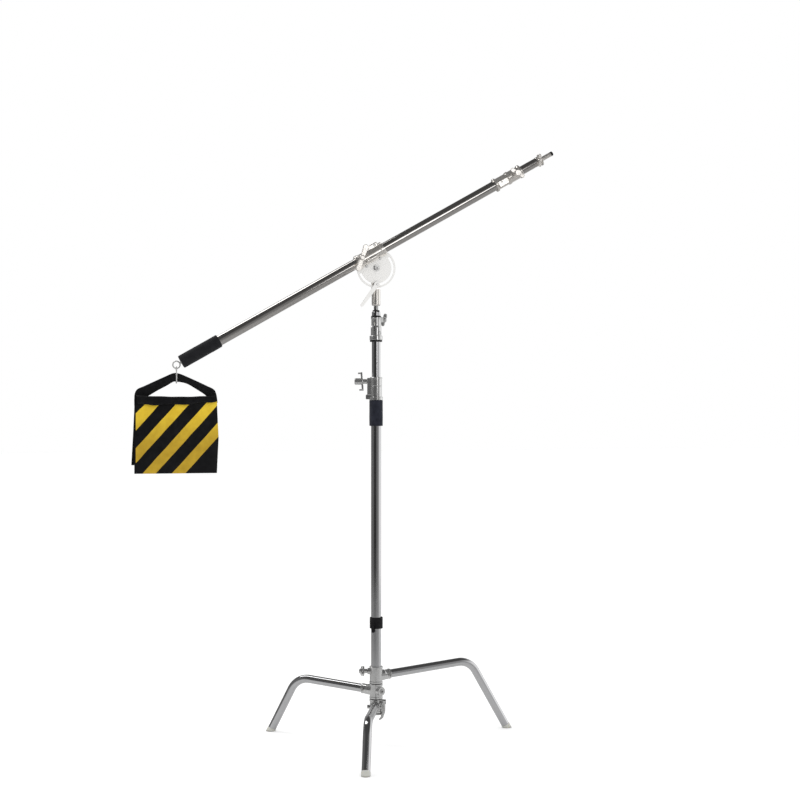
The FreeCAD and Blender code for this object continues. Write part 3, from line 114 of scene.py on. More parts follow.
def make_world():
    """White to look at, an even pale dome for soft light, and a room of bands and flags in the chrome."""
    world = bpy.data.worlds.new("studio")
    bpy.context.scene.world = world
    world.use_nodes = True
    tree = world.node_tree
    tree.nodes.clear()
    link = tree.links.new
    coords = world_node(tree, "ShaderNodeTexCoord")
    split = world_node(tree, "ShaderNodeSeparateXYZ")
    azimuth = world_node(tree, "ShaderNodeMath", operation="ARCTAN2")
    turned = world_node(tree, "ShaderNodeMath", operation="ADD")
    wrapped = world_node(tree, "ShaderNodeMath", operation="WRAP")
    bands = world_node(tree, "ShaderNodeFloatCurve")
    link(coords.outputs["Generated"], split.inputs["Vector"])
    link(split.outputs["X"], azimuth.inputs[0])
    flipped = world_node(tree, "ShaderNodeMath", operation="MULTIPLY")
    flipped.inputs[1].default_value = -1.0
    link(split.outputs["Y"], flipped.inputs[0])
    link(flipped.outputs["Value"], azimuth.inputs[1])
    turned.inputs[1].default_value = VIEW_TURN
    link(azimuth.outputs["Value"], turned.inputs[0])
    wrapped.inputs[1].default_value = math.pi
    wrapped.inputs[2].default_value = -math.pi
    link(turned.outputs["Value"], wrapped.inputs[0])
    share = world_node(tree, "ShaderNodeMath", operation="MULTIPLY_ADD")
    share.inputs[1].default_value = 0.5 / math.pi
    share.inputs[2].default_value = 0.5
    link(wrapped.outputs["Value"], share.inputs[0])
    link(share.outputs["Value"], bands.inputs["Value"])
    curve = bands.mapping.curves[0]
    bands.mapping.use_clip = False
    while len(curve.points) < len(ROOM_BANDS):
        curve.points.new(0.5, 0.5)
    for point, (degrees, level) in zip(curve.points, ROOM_BANDS):
        point.location = (degrees / 360.0 + 0.5, level)
        point.handle_type = "AUTO_CLAMPED"
    bands.mapping.update()
    rise = world_node(tree, "ShaderNodeMapRange", interpolation_type="SMOOTHSTEP")
    rise.inputs["From Min"].default_value = CEILING_FROM
    rise.inputs["From Max"].default_value = CEILING_FULL
    link(split.outputs["Z"], rise.inputs["Value"])
    room = world_node(tree, "ShaderNodeMix", data_type="FLOAT")
    room.inputs[3].default_value = ROOM_CEILING
    link(rise.outputs["Result"], room.inputs[0])
    link(bands.outputs["Value"], room.inputs[2])
    sink = world_node(tree, "ShaderNodeMapRange", interpolation_type="SMOOTHSTEP")
    sink.inputs["From Min"].default_value = BELOW_FROM
    sink.inputs["From Max"].default_value = BELOW_FULL
    link(split.outputs["Z"], sink.inputs["Value"])
    around = world_node(tree, "ShaderNodeMix", data_type="FLOAT")
    around.inputs[2].default_value = ROOM_BELOW
    link(sink.outputs["Result"], around.inputs[0])
    link(room.outputs[0], around.inputs[3])
    path = world_node(tree, "ShaderNodeLightPath")
    glossy = world_node(tree, "ShaderNodeMix", data_type="FLOAT")
    glossy.inputs[2].default_value = AMBIENT
    link(path.outputs["Is Glossy Ray"], glossy.inputs[0])
    link(around.outputs[0], glossy.inputs[3])
    seen = world_node(tree, "ShaderNodeMix", data_type="FLOAT")
    seen.inputs[3].default_value = 1.0
    link(path.outputs["Is Camera Ray"], seen.inputs[0])
    link(glossy.outputs[0], seen.inputs[2])
    background = world_node(tree, "ShaderNodeBackground")
    background.inputs["Color"].default_value = (1.0, 1.0, 1.0, 1.0)
    out = world_node(tree, "ShaderNodeOutputWorld")
    link(seen.outputs[0], background.inputs["Strength"])
    link(background.outputs["Background"], out.inputs["Surface"])


FLOOR_HALF = 30.0
FLOOR_SEEN = 0.98
FLOOR_GLOW = 0.235           # lifts the seen floor to the white of the backdrop
FLOOR_CLOSE = 0.66           # the floor's tone in chrome close above it
FLOOR_MIRRORED = 0.45        # and in chrome high above it, as if it ended in a darker studio
FLOOR_THIN = 0.50            # how much of the room shows through it there
CLOSE_REACH, HIGH_REACH = 0.25, 2.4
FLOOR_NEAR, FLOOR_FAR = 1.2, 6.0     # between these distances from the stand it fades out of the chrome


def make_floor():
    mesh = bpy.data.meshes.new("floor")
    corners = [(-FLOOR_HALF, -FLOOR_HALF, 0), (FLOOR_HALF, -FLOOR_HALF, 0), (FLOOR_HALF, FLOOR_HALF, 0),
               (-FLOOR_HALF, FLOOR_HALF, 0)]
    mesh.from_pydata(corners, [], [(0, 1, 2, 3)])
    floor = bpy.data.objects.new("floor", mesh)
    floor.location.z = -0.0005
    bpy.context.scene.collection.objects.link(floor)
    mat = bpy.data.materials.new("floor_pale")
    mat.use_nodes = True
    tree = mat.node_tree
    shader = tree.nodes["Principled BSDF"]
    shader.inputs["Roughness"].default_value = 0.9
    shader.inputs["Specular IOR Level"].default_value = 0.1
    path = tree.nodes.new("ShaderNodeLightPath")
    tone = tree.nodes.new("ShaderNodeMix")
    tone.data_type = "RGBA"
    reach = tree.nodes.new("ShaderNodeMapRange")
    reach.inputs["From Min"].default_value = CLOSE_REACH
    reach.inputs["From Max"].default_value = HIGH_REACH
    reach.inputs["To Min"].default_value = FLOOR_CLOSE
    reach.inputs["To Max"].default_value = FLOOR_MIRRORED
    tree.links.new(path.outputs["Ray Length"], reach.inputs["Value"])
    tone.inputs[6].default_value = (FLOOR_SEEN, FLOOR_SEEN, FLOOR_SEEN, 1.0)
    tree.links.new(path.outputs["Is Glossy Ray"], tone.inputs[0])
    tree.links.new(reach.outputs["Result"], tone.inputs[7])
    tree.links.new(tone.outputs[2], shader.inputs["Base Color"])
    glow = tree.nodes.new("ShaderNodeMath")
    glow.operation = "MULTIPLY"
    glow.inputs[1].default_value = FLOOR_GLOW
    shader.inputs["Emission Color"].default_value = (1.0, 1.0, 1.0, 1.0)
    tree.links.new(path.outputs["Is Camera Ray"], glow.inputs[0])
    tree.links.new(glow.outputs["Value"], shader.inputs["Emission Strength"])
    place = tree.nodes.new("ShaderNodeTexCoord")
    distance = tree.nodes.new("ShaderNodeVectorMath")
    distance.operation = "LENGTH"
    tree.links.new(place.outputs["Object"], distance.inputs[0])
    fade = tree.nodes.new("ShaderNodeMapRange")
    fade.interpolation_type = "SMOOTHSTEP"
    fade.inputs["From Min"].default_value = FLOOR_NEAR
    fade.inputs["From Max"].default_value = FLOOR_FAR
    tree.links.new(distance.outputs["Value"], fade.inputs["Value"])
    thin = tree.nodes.new("ShaderNodeMapRange")
    thin.inputs["From Min"].default_value = CLOSE_REACH
    thin.inputs["From Max"].default_value = HIGH_REACH
    thin.inputs["To Max"].default_value = FLOOR_THIN
    tree.links.new(path.outputs["Ray Length"], thin.inputs["Value"])
    faint = tree.nodes.new("ShaderNodeMath")
    faint.operation = "MAXIMUM"
    tree.links.new(fade.outputs["Result"], faint.inputs[0])
    tree.links.new(thin.outputs["Result"], faint.inputs[1])
    unseen = tree.nodes.new("ShaderNodeMath")
    unseen.operation = "MULTIPLY"
    tree.links.new(faint.outputs["Value"], unseen.inputs[0])
    tree.links.new(path.outputs["Is Glossy Ray"], unseen.inputs[1])
    clear = tree.nodes.new("ShaderNodeBsdfTransparent")
    mixed = tree.nodes.new("ShaderNodeMixShader")
    tree.links.new(unseen.outputs["Value"], mixed.inputs[0])
    tree.links.new(shader.outputs[0], mixed.inputs[1])
    tree.links.new(clear.outputs[0], mixed.inputs[2])
    tree.links.new(mixed.outputs[0], tree.nodes["Material Output"].inputs["Surface"])
    mesh.materials.append(mat)


def make_studio():
    make_world()
    make_floor()
    soft_box("front_right_box", 1.9, -3.5, 2.1, 0.95, 1.6, 9.0, (0.0, 0.0, 1.5))
    soft_box("top_left_box", -1.75, 1.0, 3.3, 0.9, 2.6, 22.0, (-0.45, 0.0, 1.45))
    bpy.context.scene.view_settings.view_transform = "Standard"


# ---- materials ----------------------------------------------------------------------------------


class Finish:
    """A principled material and short helpers for the nodes that vary it."""

    def __init__(self, name, color, roughness, metallic=0.0, specular=0.5):
        self.material = bpy.data.materials.new(name)
        self.material.use_nodes = True
        self.tree = self.material.node_tree
        self.shader = self.tree.nodes["Principled BSDF"]
        self.set("Base Color", (*color, 1.0))
        self.set("Roughness", roughness)
        self.set("Metallic", metallic)
        self.set("Specular IOR Level", specular)
        self.coords = self.node("ShaderNodeTexCoord").outputs["Object"]
        self.height = None

    def set(self, socket, value):
        self.shader.inputs[socket].default_value = value

    def node(self, kind, **values):
        made = self.tree.nodes.new(kind)
        for key, value in values.items():
            setattr(made, key, value)
        return made

    def link(self, source, target):
        self.tree.links.new(source, target)

    def math(self, operation, first, second=None, third=None):
        made = self.node("ShaderNodeMath", operation=operation)
        for place, value in enumerate((first, second, third)):
            if value is None:
                continue
            if isinstance(value, (int, float)):
                made.inputs[place].default_value = value
            else:
                self.link(value, made.inputs[place])
        return made.outputs["Value"]

    def mapped(self, scale=(1, 1, 1), rotation=(0, 0, 0), location=(0, 0, 0)):
        made = self.node("ShaderNodeMapping")
        made.inputs["Scale"].default_value = scale
        made.inputs["Rotation"].default_value = rotation
        made.inputs["Location"].default_value = location
        self.link(self.coords, made.inputs["Vector"])
        return made.outputs["Vector"]

    def noise(self, scale, detail=2.0, vector=None, rough=0.5):
        made = self.node("ShaderNodeTexNoise")
        made.inputs["Scale"].default_value = scale
        made.inputs["Detail"].default_value = detail
        made.inputs["Roughness"].default_value = rough
        self.link(vector or self.coords, made.inputs["Vector"])
        return made.outputs["Fac"]

    def span(self, value, low, high):
        made = self.node("ShaderNodeMapRange")
        made.inputs["To Min"].default_value = low
        made.inputs["To Max"].default_value = high
        made.inputs["From Min"].default_value = 0.3
        made.inputs["From Max"].default_value = 0.7
        self.link(value, made.inputs["Value"])
        return made.outputs["Result"]

    def blend(self, factor, first, second):
        made = self.node("ShaderNodeMix", data_type="RGBA")
        for value, socket in ((first, made.inputs[6]), (second, made.inputs[7])):
            if isinstance(value, tuple):
                socket.default_value = (*value, 1.0)
            else:
                self.link(value, socket)
        self.link(factor, made.inputs[0])
        return made.outputs[2]

    def color(self, output):
        self.link(output, self.shader.inputs["Base Color"])

    def rough(self, output):
        self.link(output, self.shader.inputs["Roughness"])

    def bump(self, height, strength, distance):
        """Adds a bump on top of any that the finish already has."""
        made = self.node("ShaderNodeBump")
        made.inputs["Strength"].default_value = strength
        made.inputs["Distance"].default_value = distance
        self.link(height, made.inputs["Height"])
        if self.height is not None:
            self.link(self.height, made.inputs["Normal"])
        self.height = made.outputs["Normal"]
        self.link(self.height, self.shader.inputs["Normal"])


def chrome_tube(name, lean, tint):
    """Polished chrome with faint drawing lines along the tube, smudges and a few dull flecks."""
    f = Finish(name, tint, 0.07, 1.0)
    along = f.mapped((420.0, 420.0, 6.0), (0.0, lean, 0.0))
    lines = f.noise(1.0, 2.0, along)
    smudges = f.noise(9.0, 4.0)
    f.rough(f.math("ADD", f.span(smudges, 0.035, 0.12), f.math("MULTIPLY", lines, 0.03)))
    f.bump(lines, 0.012, 0.0002)
    flecks = f.math("GREATER_THAN", f.noise(260.0, 1.0), 0.74)
    f.color(f.blend(flecks, tint, (0.5, 0.49, 0.48)))
    return f.material


def cast_chrome():
    """Chromed casting: bright and mirroring, with a faint ripple of the casting under it."""
    f = Finish("cast_chrome", (0.72, 0.72, 0.72), 0.14, 0.88)
    f.rough(f.span(f.noise(40.0, 4.0), 0.09, 0.17))
    f.bump(f.noise(190.0, 2.0), 0.07, 0.0005)
    f.color(f.blend(f.span(f.noise(70.0, 5.0), 0.0, 0.4), (0.75, 0.75, 0.745), (0.60, 0.595, 0.585)))
    return f.material


def satin_alloy():
    """Pale plated alloy castings with a warm cast: softly mirroring, even but for a fine grain."""
    f = Finish("satin_alloy", (0.92, 0.885, 0.84), 0.16, 0.84)
    f.rough(f.span(f.noise(60.0, 3.0), 0.12, 0.20))
    f.bump(f.noise(1300.0, 2.0), 0.03, 0.0002)
    f.color(f.blend(f.span(f.noise(25.0, 3.0), 0.0, 0.4), (0.94, 0.905, 0.86), (0.86, 0.825, 0.775)))
    return f.material


def white_satin():
    """The disc's and lever's blasted, nearly white plating."""
    f = Finish("white_satin", (0.955, 0.945, 0.925), 0.42, 0.0, 0.4)
    f.rough(f.span(f.noise(80.0, 3.0), 0.38, 0.50))
    f.bump(f.noise(1600.0, 2.0), 0.02, 0.0001)
    f.color(f.blend(f.span(f.noise(30.0, 3.0), 0.0, 0.4), (0.965, 0.955, 0.935), (0.93, 0.918, 0.895)))
    return f.material


def bright_nickel():
    """Plated wire of the hook and the eye: brighter and softer than the tubes."""
    f = Finish("bright_nickel", (0.78, 0.78, 0.775), 0.28, 0.55)
    f.rough(f.span(f.noise(90.0, 3.0), 0.22, 0.34))
    f.bump(f.noise(500.0, 2.0), 0.06, 0.0003)
    f.color(f.blend(f.span(f.noise(110.0, 3.0), 0.0, 0.5), (0.80, 0.80, 0.79), (0.68, 0.675, 0.66)))
    return f.material


def plated_steel():
    f = Finish("plated_steel", (0.56, 0.56, 0.56), 0.25, 1.0)
    f.rough(f.span(f.noise(90.0, 4.0), 0.16, 0.36))
    f.bump(f.noise(700.0, 2.0), 0.08, 0.0002)
    f.color(f.blend(f.span(f.noise(130.0, 3.0), 0.0, 1.0), (0.62, 0.62, 0.61), (0.45, 0.445, 0.44)))
    return f.material


def black_plastic():
    f = Finish("black_plastic", (0.012, 0.012, 0.013), 0.42)
    f.rough(f.span(f.noise(120.0, 3.0), 0.34, 0.55))
    f.bump(f.noise(1500.0, 2.0), 0.15, 0.0002)
    f.color(f.blend(f.span(f.noise(60.0, 4.0), 0.0, 1.0), (0.010, 0.010, 0.011), (0.02, 0.02, 0.021)))
    return f.material


def nylon():
    f = Finish("white_nylon", (0.8, 0.8, 0.76), 0.45)
    f.set("Subsurface Weight", 0.15)
    f.set("Subsurface Radius", (0.004, 0.004, 0.003))
    f.rough(f.span(f.noise(200.0, 3.0), 0.38, 0.55))
    f.bump(f.noise(900.0, 2.0), 0.08, 0.0002)
    return f.material


def foot_plastic():
    """Pale translucent moulding, scuffed towards the floor."""
    f = Finish("foot_plastic", (0.60, 0.60, 0.56), 0.38)
    f.set("Subsurface Weight", 0.35)
    f.set("Subsurface Radius", (0.006, 0.005, 0.003))
    height = f.node("ShaderNodeSeparateXYZ")
    f.link(f.coords, height.inputs["Vector"])
    scuff = f.math("LESS_THAN", height.outputs["Z"], f.math("MULTIPLY", f.noise(150.0, 4.0), 0.007))
    f.color(f.blend(scuff, (0.62, 0.62, 0.58), (0.42, 0.415, 0.385)))
    f.rough(f.span(f.noise(130.0, 4.0), 0.30, 0.55))
    f.bump(f.noise(420.0, 3.0), 0.12, 0.0004)
    return f.material


def foam(name, dark, light):
    """Closed-cell foam: near black, with fine pores and a faint bloom."""
    f = Finish(name, dark, 0.86, 0.0, 0.25)
    f.set("Sheen Weight", 0.08)
    f.set("Sheen Roughness", 0.6)
    cells = f.node("ShaderNodeTexVoronoi", feature="F1")
    cells.inputs["Scale"].default_value = 900.0
    f.link(f.coords, cells.inputs["Vector"])
    f.bump(cells.outputs["Distance"], 0.45, 0.0004)
    f.bump(f.noise(70.0, 4.0), 0.25, 0.0012)
    f.color(f.blend(f.span(f.noise(55.0, 5.0), 0.0, 1.0), dark, light))
    return f.material


def weave_height(f, pitch, rotation=(0, 0, 0)):
    """A plain weave's height: over and under threads across two directions."""
    turned = f.mapped((1, 1, 1), rotation)
    split = f.node("ShaderNodeSeparateXYZ")
    f.link(turned, split.inputs["Vector"])
    along = f.math("SINE", f.math("MULTIPLY", split.outputs["X"], 2 * math.pi / pitch))
    across = f.math("SINE", f.math("MULTIPLY", split.outputs["Z"], 2 * math.pi / pitch))
    return f.math("MULTIPLY", along, across)


STRIPE_SLOPE = math.tan(math.radians(48.0))
STRIPE_PERIOD = 0.0995
STRIPE_SHARE = 0.455
STRIPE_START = -0.1185       # from the hook's line, at the height below
STRIPE_LEVEL = 0.949
STRIPE_END = 0.190           # the print stops this far past the start, leaving a black corner
PRINT_LEFT = -0.1375         # the print's left edge from the hook's line
PRINT_TOP = 1.188
PRINT_CORNER = 0.032         # its upper left corner is cut this much
# The yellow's two tones: darker low on the bag as painted shade, brighter high up as a painted sheen; each varies
# at random
YELLOW_PAINTED_SHADE = ((0.48, 0.30, 0.016), (0.60, 0.385, 0.024))
YELLOW_PAINTED_SHEEN = ((0.84, 0.56, 0.025), (0.95, 0.67, 0.040))


def striped_nylon(hook_x):
    """Coated nylon cloth, black with printed yellow diagonal bands, the yellow painted darker low down as painted
    shade and brighter higher up as a painted sheen, and its weave.
    """
    f = Finish("striped_nylon", (0.02, 0.02, 0.022), 0.55, 0.0, 0.25)
    f.set("Sheen Weight", 0.03)
    f.set("Sheen Roughness", 0.4)
    split = f.node("ShaderNodeSeparateXYZ")
    f.link(f.coords, split.inputs["Vector"])
    rise = f.math("DIVIDE", f.math("SUBTRACT", split.outputs["Z"], STRIPE_LEVEL), STRIPE_SLOPE)
    run = f.math("SUBTRACT", f.math("SUBTRACT", split.outputs["X"], hook_x + STRIPE_START), rise)
    waver = f.math("MULTIPLY", f.math("SUBTRACT", f.noise(18.0, 2.0), 0.5), 0.004)
    phase = f.math("FRACT", f.math("DIVIDE", f.math("ADD", run, waver), STRIPE_PERIOD))
    band = f.math("LESS_THAN", phase, STRIPE_SHARE)
    first = f.math("LESS_THAN", f.math("ADD", run, waver), (STRIPE_SHARE - 2.0) * STRIPE_PERIOD)
    band = f.math("MAXIMUM", band, first)
    band = f.math("MULTIPLY", band, f.math("LESS_THAN", run, STRIPE_END))
    inside = f.math("SUBTRACT", split.outputs["X"], hook_x + PRINT_LEFT)
    band = f.math("MULTIPLY", band, f.math("GREATER_THAN", inside, 0.0))
    corner = f.math("ADD", f.math("SUBTRACT", inside, split.outputs["Z"]), f.math("MULTIPLY", waver, 2.0))
    band = f.math("MULTIPLY", band, f.math("GREATER_THAN", corner, PRINT_CORNER - PRINT_TOP))
    worn = f.span(f.noise(40.0, 4.0), 0.0, 1.0)
    # Blends the yellow with height, from painted shade low down to a painted sheen higher up
    height = f.node("ShaderNodeMapRange", interpolation_type="SMOOTHSTEP")
    height.inputs["From Min"].default_value = STRIPE_LEVEL + 0.08
    height.inputs["From Max"].default_value = STRIPE_LEVEL + 0.25
    f.link(split.outputs["Z"], height.inputs["Value"])
    yellow = f.blend(height.outputs["Result"], f.blend(worn, *YELLOW_PAINTED_SHADE), f.blend(worn, *YELLOW_PAINTED_SHEEN))
    black = f.blend(f.span(f.noise(50.0, 4.0), 0.0, 1.0), (0.0030, 0.0030, 0.0040), (0.007, 0.007, 0.009))
    f.color(f.blend(band, black, yellow))
    f.rough(f.span(f.noise(30.0, 3.0), 0.42, 0.62))
    f.bump(weave_height(f, 0.0013), 0.16, 0.0002)
    f.bump(f.noise(26.0, 3.0), 0.30, 0.004)
    return f.material


def black_cloth():
    f = Finish("black_cloth", (0.005, 0.005, 0.006), 0.7, 0.0, 0.2)
    f.set("Sheen Weight", 0.05)
    f.set("Sheen Roughness", 0.5)
    f.color(f.blend(f.span(f.noise(60.0, 4.0), 0.0, 1.0), (0.003, 0.003, 0.004), (0.008, 0.008, 0.010)))
    f.rough(f.span(f.noise(80.0, 3.0), 0.6, 0.85))
    f.bump(weave_height(f, 0.0013), 0.3, 0.0003)
    f.bump(f.noise(45.0, 3.0), 0.25, 0.003)
    return f.material


def webbing(name, turn):
    """Woven strap: ribs across the webbing's run and a matt, slightly furry surface."""
    f = Finish(name, (0.006, 0.006, 0.007), 0.8, 0.0, 0.2)
    f.set("Sheen Weight", 0.08)
    f.set("Sheen Roughness", 0.5)
    f.color(f.blend(f.span(f.noise(120.0, 4.0), 0.0, 1.0), (0.004, 0.004, 0.005), (0.010, 0.010, 0.012)))
    f.bump(weave_height(f, 0.0024, (0.0, turn, 0.0)), 0.6, 0.0006)
    f.bump(f.noise(900.0, 2.0), 0.2, 0.0003)
    return f.material


def rubber():
    f = Finish("black_rubber", (0.008, 0.008, 0.008), 0.6, 0.0, 0.4)
    f.rough(f.span(f.noise(200.0, 3.0), 0.5, 0.75))
    f.bump(f.noise(800.0, 2.0), 0.15, 0.0003)
    return f.material


def sewing_thread():
    f = Finish("sewing_thread", (0.03, 0.03, 0.032), 0.6)
    f.bump(f.noise(2500.0, 1.0), 0.4, 0.0002)
    return f.material


BOOM_LEAN = math.radians(90.0 - 29.8)
MATERIALS = {
    "chrome_upright": chrome_tube("chrome_upright", 0.0, (0.66, 0.66, 0.67)),
    "chrome_boom": chrome_tube("chrome_boom", -BOOM_LEAN, (0.68, 0.655, 0.63)),
    "cast_chrome": cast_chrome(),
    "satin_alloy": satin_alloy(),
    "white_satin": white_satin(),
    "plated_steel": plated_steel(),
    "black_plastic": black_plastic(),
    "nylon": nylon(),
    "foot_plastic": foot_plastic(),
    "rubber": rubber(),
    "bright_nickel": bright_nickel(),
}
NODE_FINISH = {
    "boom_tube": "chrome_boom",
    "inner_boom_tube": "chrome_boom",
    "s_hook": "bright_nickel",
    "eye_bolt": "bright_nickel",
    "pivot_disc": "white_satin",
    "slot_lever": "white_satin",
}
SLOT_FINISH = {
    "chrome_tube": "chrome_upright",
    "cast_chrome": "cast_chrome",
    "steel_fastener": "plated_steel",
    "satin_alloy": "satin_alloy",
    "black_plastic": "black_plastic",
    "foot_plastic": "foot_plastic",
    "glide_plastic": "nylon",
    "black_rubber": "rubber",
}


def finish_cad_nodes():
    """Gives every packed metal or moulded node its finish by the record's slot."""
    for part in frame["record"]["subparts"]:
        wanted = NODE_FINISH.get(part["node"], SLOT_FINISH.get(part["material_slot"]))
        if wanted is None:
            continue
        node = frame["nodes"][part["node"]]
        node.data.materials.clear()
        node.data.materials.append(MATERIALS[wanted])


# ---- mesh helpers -------------------------------------------------------------------------------


def mesh_piece(name, points, faces, material, body, smooth=True):
    mesh = bpy.data.meshes.new(name)
    mesh.from_pydata([tuple(p) for p in points], [], faces)
    mesh.validate()
    mesh.update()
    piece = bpy.data.objects.new(name, mesh)
    bpy.context.scene.collection.objects.link(piece)
    mesh.materials.append(material)
    if smooth:
        mesh.polygons.foreach_set("use_smooth", [True] * len(mesh.polygons))
    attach(piece, body)
    return piece


def add_modifier(piece, kind, **values):
    modifier = piece.modifiers.new(kind.lower(), kind)
    for key, value in values.items():
        setattr(modifier, key, value)
    return modifier


def grid_faces(rows, columns, wrap_rows=False, wrap_columns=False):
    """Quads over a grid of points stored row by row."""
    faces = []
    for i in range(rows if wrap_rows else rows - 1):
        for j in range(columns if wrap_columns else columns - 1):
            i2, j2 = (i + 1) % rows, (j + 1) % columns
            faces.append((i * columns + j, i * columns + j2, i2 * columns + j2, i2 * columns + j))
    return faces


# ---- foam grips ---------------------------------------------------------------------------------

FOAM_ROUND = 0.0028
FOAM_RIPPLE = 0.00035
FOAM_AROUND = 96
FOAM_CORNER_STEPS = 6
FOAM_LENGTH_STEPS = 48
SEAM_DEEP = 0.0006
GRIP_GAP = 0.0001        # between a grip's bore and its tube
GRIP_SHORT = 0.0002      # and between the column's grip and the collar above it


def foam_outline(length, inner, outer):
    """The sleeve's (radius, place) outline, up the outside and back down the bore."""
    outline = []
    for i in range(FOAM_CORNER_STEPS + 1):
        a = 0.5 * math.pi * i / FOAM_CORNER_STEPS
        outline.append((outer - FOAM_ROUND + FOAM_ROUND * math.sin(a), FOAM_ROUND * (1 - math.cos(a))))
    for i in range(1, FOAM_LENGTH_STEPS):
        outline.append((outer, FOAM_ROUND + (length - 2 * FOAM_ROUND) * i / FOAM_LENGTH_STEPS))
    for i in range(FOAM_CORNER_STEPS + 1):
        a = 0.5 * math.pi * i / FOAM_CORNER_STEPS
        place = length - FOAM_ROUND * (1 - math.sin(a))
        outline.append((outer - FOAM_ROUND + FOAM_ROUND * math.cos(a), place))
    outline.append((inner, length))
    outline.append((inner, 0.0))
    return outline


def foam_sleeve(name, node, start, end, inner, outer, body, material):
    """A moulded foam grip on a tube: softly rounded ends, a slight ripple and a mould seam."""
    axis = (end - start).normalized()
    side = axis.cross(Vector((0, 1, 0))).normalized()
    other = axis.cross(side).normalized()
    outline = foam_outline((end - start).length, inner, outer)
    points = []
    for radius, place in outline:
        for j in range(FOAM_AROUND):
            a = 2 * math.pi * j / FOAM_AROUND
            spot = start + axis * place + (side * math.cos(a) + other * math.sin(a)) * radius
            grow = 0.0
            if radius > inner + 0.002:
                grow = FOAM_RIPPLE * noise.noise(spot * 45.0)
                grow -= SEAM_DEEP * math.exp(-((j - FOAM_AROUND // 2) / 1.3) ** 2)
            points.append(spot + (side * math.cos(a) + other * math.sin(a)) * grow)
    faces = grid_faces(len(outline), FOAM_AROUND, True, True)
    piece = mesh_piece(name, points, faces, material, body)
    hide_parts(node)
    return piece


def joint_of(name):
    return next(j for j in frame["joints"] if j["name"] == name)


def make_grips():
    low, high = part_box("column_foam_grip")
    inner = 0.5 * (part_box("lower_tube")[1][0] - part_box("lower_tube")[0][0])
    outer = 0.5 * (high[0] - low[0])
    foam_sleeve("column_grip_foam", "column_foam_grip", Vector((0, 0, low[2])),
                Vector((0, 0, high[2] - GRIP_SHORT)), inner + GRIP_GAP, outer, "column", navy_foam)
    axis = Vector(joint_of("boom_slide")["axis"])
    eye = Vector(joint_of("hook_plumb")["pos_m"])
    low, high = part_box("boom_foam_grip")
    outer = 0.5 * (high[1] - low[1])
    lean = math.sqrt(1.0 - axis.z ** 2)
    length = ((high[0] - low[0]) - 2 * outer * axis.z) / lean
    tube_radius = 0.5 * (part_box("boom_tube")[1][1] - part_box("boom_tube")[0][1])
    middle_x = 0.5 * (low[0] + high[0])
    middle = eye + axis * ((middle_x - eye.x) / lean)
    start = middle - axis * (0.5 * length)
    foam_sleeve("boom_grip_foam", "boom_foam_grip", start, start + axis * length, tube_radius + GRIP_GAP,
                outer, "boom", black_foam)


# ---- cable strap --------------------------------------------------------------------------------

CABLE_TURNS = 1.55
CABLE_THICK = 0.0019
CABLE_LIFT = 0.0026          # how much the strap climbs over itself in a turn
CABLE_SLANT = 0.0015         # how much lower its lower edge ends than it starts
CABLE_START = math.radians(200.0)
CABLE_FREE_FROM = 0.93       # share of its length after which the free end stands off
CABLE_STATIONS, CABLE_ROWS = 150, 9
TAIL_AZIMUTH = math.radians(-132.0)
TAIL_STATIONS = 22
TAIL_THICK = 0.0013


def make_cable_strap():
    """A hook-and-loop strap wound on the lower tube, its free end standing off a little."""
    low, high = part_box("cable_strap")
    tube = 0.5 * (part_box("lower_tube")[1][0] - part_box("lower_tube")[0][0])
    bottom, top = low[2] + 0.009, high[2]
    stations, rows = CABLE_STATIONS, CABLE_ROWS
    points = []
    for i in range(stations):
        t = i / (stations - 1)
        a = CABLE_START + 2 * math.pi * CABLE_TURNS * t
        radius = tube + 0.0004 + CABLE_LIFT * CABLE_TURNS * t
        free = max(0.0, (t - CABLE_FREE_FROM) / (1.0 - CABLE_FREE_FROM))
        radius += 0.004 * free ** 2
        shift = -CABLE_SLANT * t
        for side in (0, 1):
            for k in range(rows):
                s = k / (rows - 1)
                z = bottom + (top - bottom) * s + shift * (1 - s)
                r = radius + (CABLE_THICK if side else 0.0)
                r += 0.0003 * noise.noise(Vector((a * 2.0, s * 6.0, side)))
                points.append(Vector((r * math.cos(a), r * math.sin(a), z)))
    ring = 2 * rows
    order = list(range(rows)) + list(range(2 * rows - 1, rows - 1, -1))
    faces = []
    for i in range(stations - 1):
        for k in range(ring):
            k2 = (k + 1) % ring
            a, b = i * ring + order[k], i * ring + order[k2]
            faces.append((a, b, b + ring, a + ring))
    faces.append([order[k] for k in range(ring)][::-1])
    faces.append([(stations - 1) * ring + order[k] for k in range(ring)])
    piece = mesh_piece("cable_wrap", points, faces, webbing_flat, "column")
    add_modifier(piece, "BEVEL", width=0.0004, segments=2, limit_method="ANGLE")
    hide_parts("cable_strap")
    make_strap_tail(tube, bottom)


def make_strap_tail(tube, bottom):
    """The strap's narrow sewn loop and hanging tail."""
    out = Vector((math.cos(TAIL_AZIMUTH), math.sin(TAIL_AZIMUTH), 0))
    across = Vector((-out.y, out.x, 0))
    points = []
    for i in range(TAIL_STATIONS):
        t = i / (TAIL_STATIONS - 1)
        z = bottom + 0.016 - 0.030 * t
        centre = out * (tube + 0.0072 + 0.0012 * math.sin(3.0 * t)) + Vector((0, 0, z)) + across * (0.003 * t)
        half = 0.0065 - 0.0015 * t
        for dx, dr in ((-half, 0.0), (half, 0.0), (half, TAIL_THICK), (-half, TAIL_THICK)):
            points.append(centre + across * dx + out * dr)
    faces = grid_faces(TAIL_STATIONS, 4, False, True)
    faces.append((3, 2, 1, 0))
    last = (TAIL_STATIONS - 1) * 4
    faces.append((last, last + 1, last + 2, last + 3))
    tail = mesh_piece("cable_wrap_tail", points, faces, webbing_flat, "column")
    add_modifier(tail, "BEVEL", width=0.0003, segments=2, limit_method="ANGLE")
    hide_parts("cable_strap")


# ---- sandbag ------------------------------------------------------------------------------------

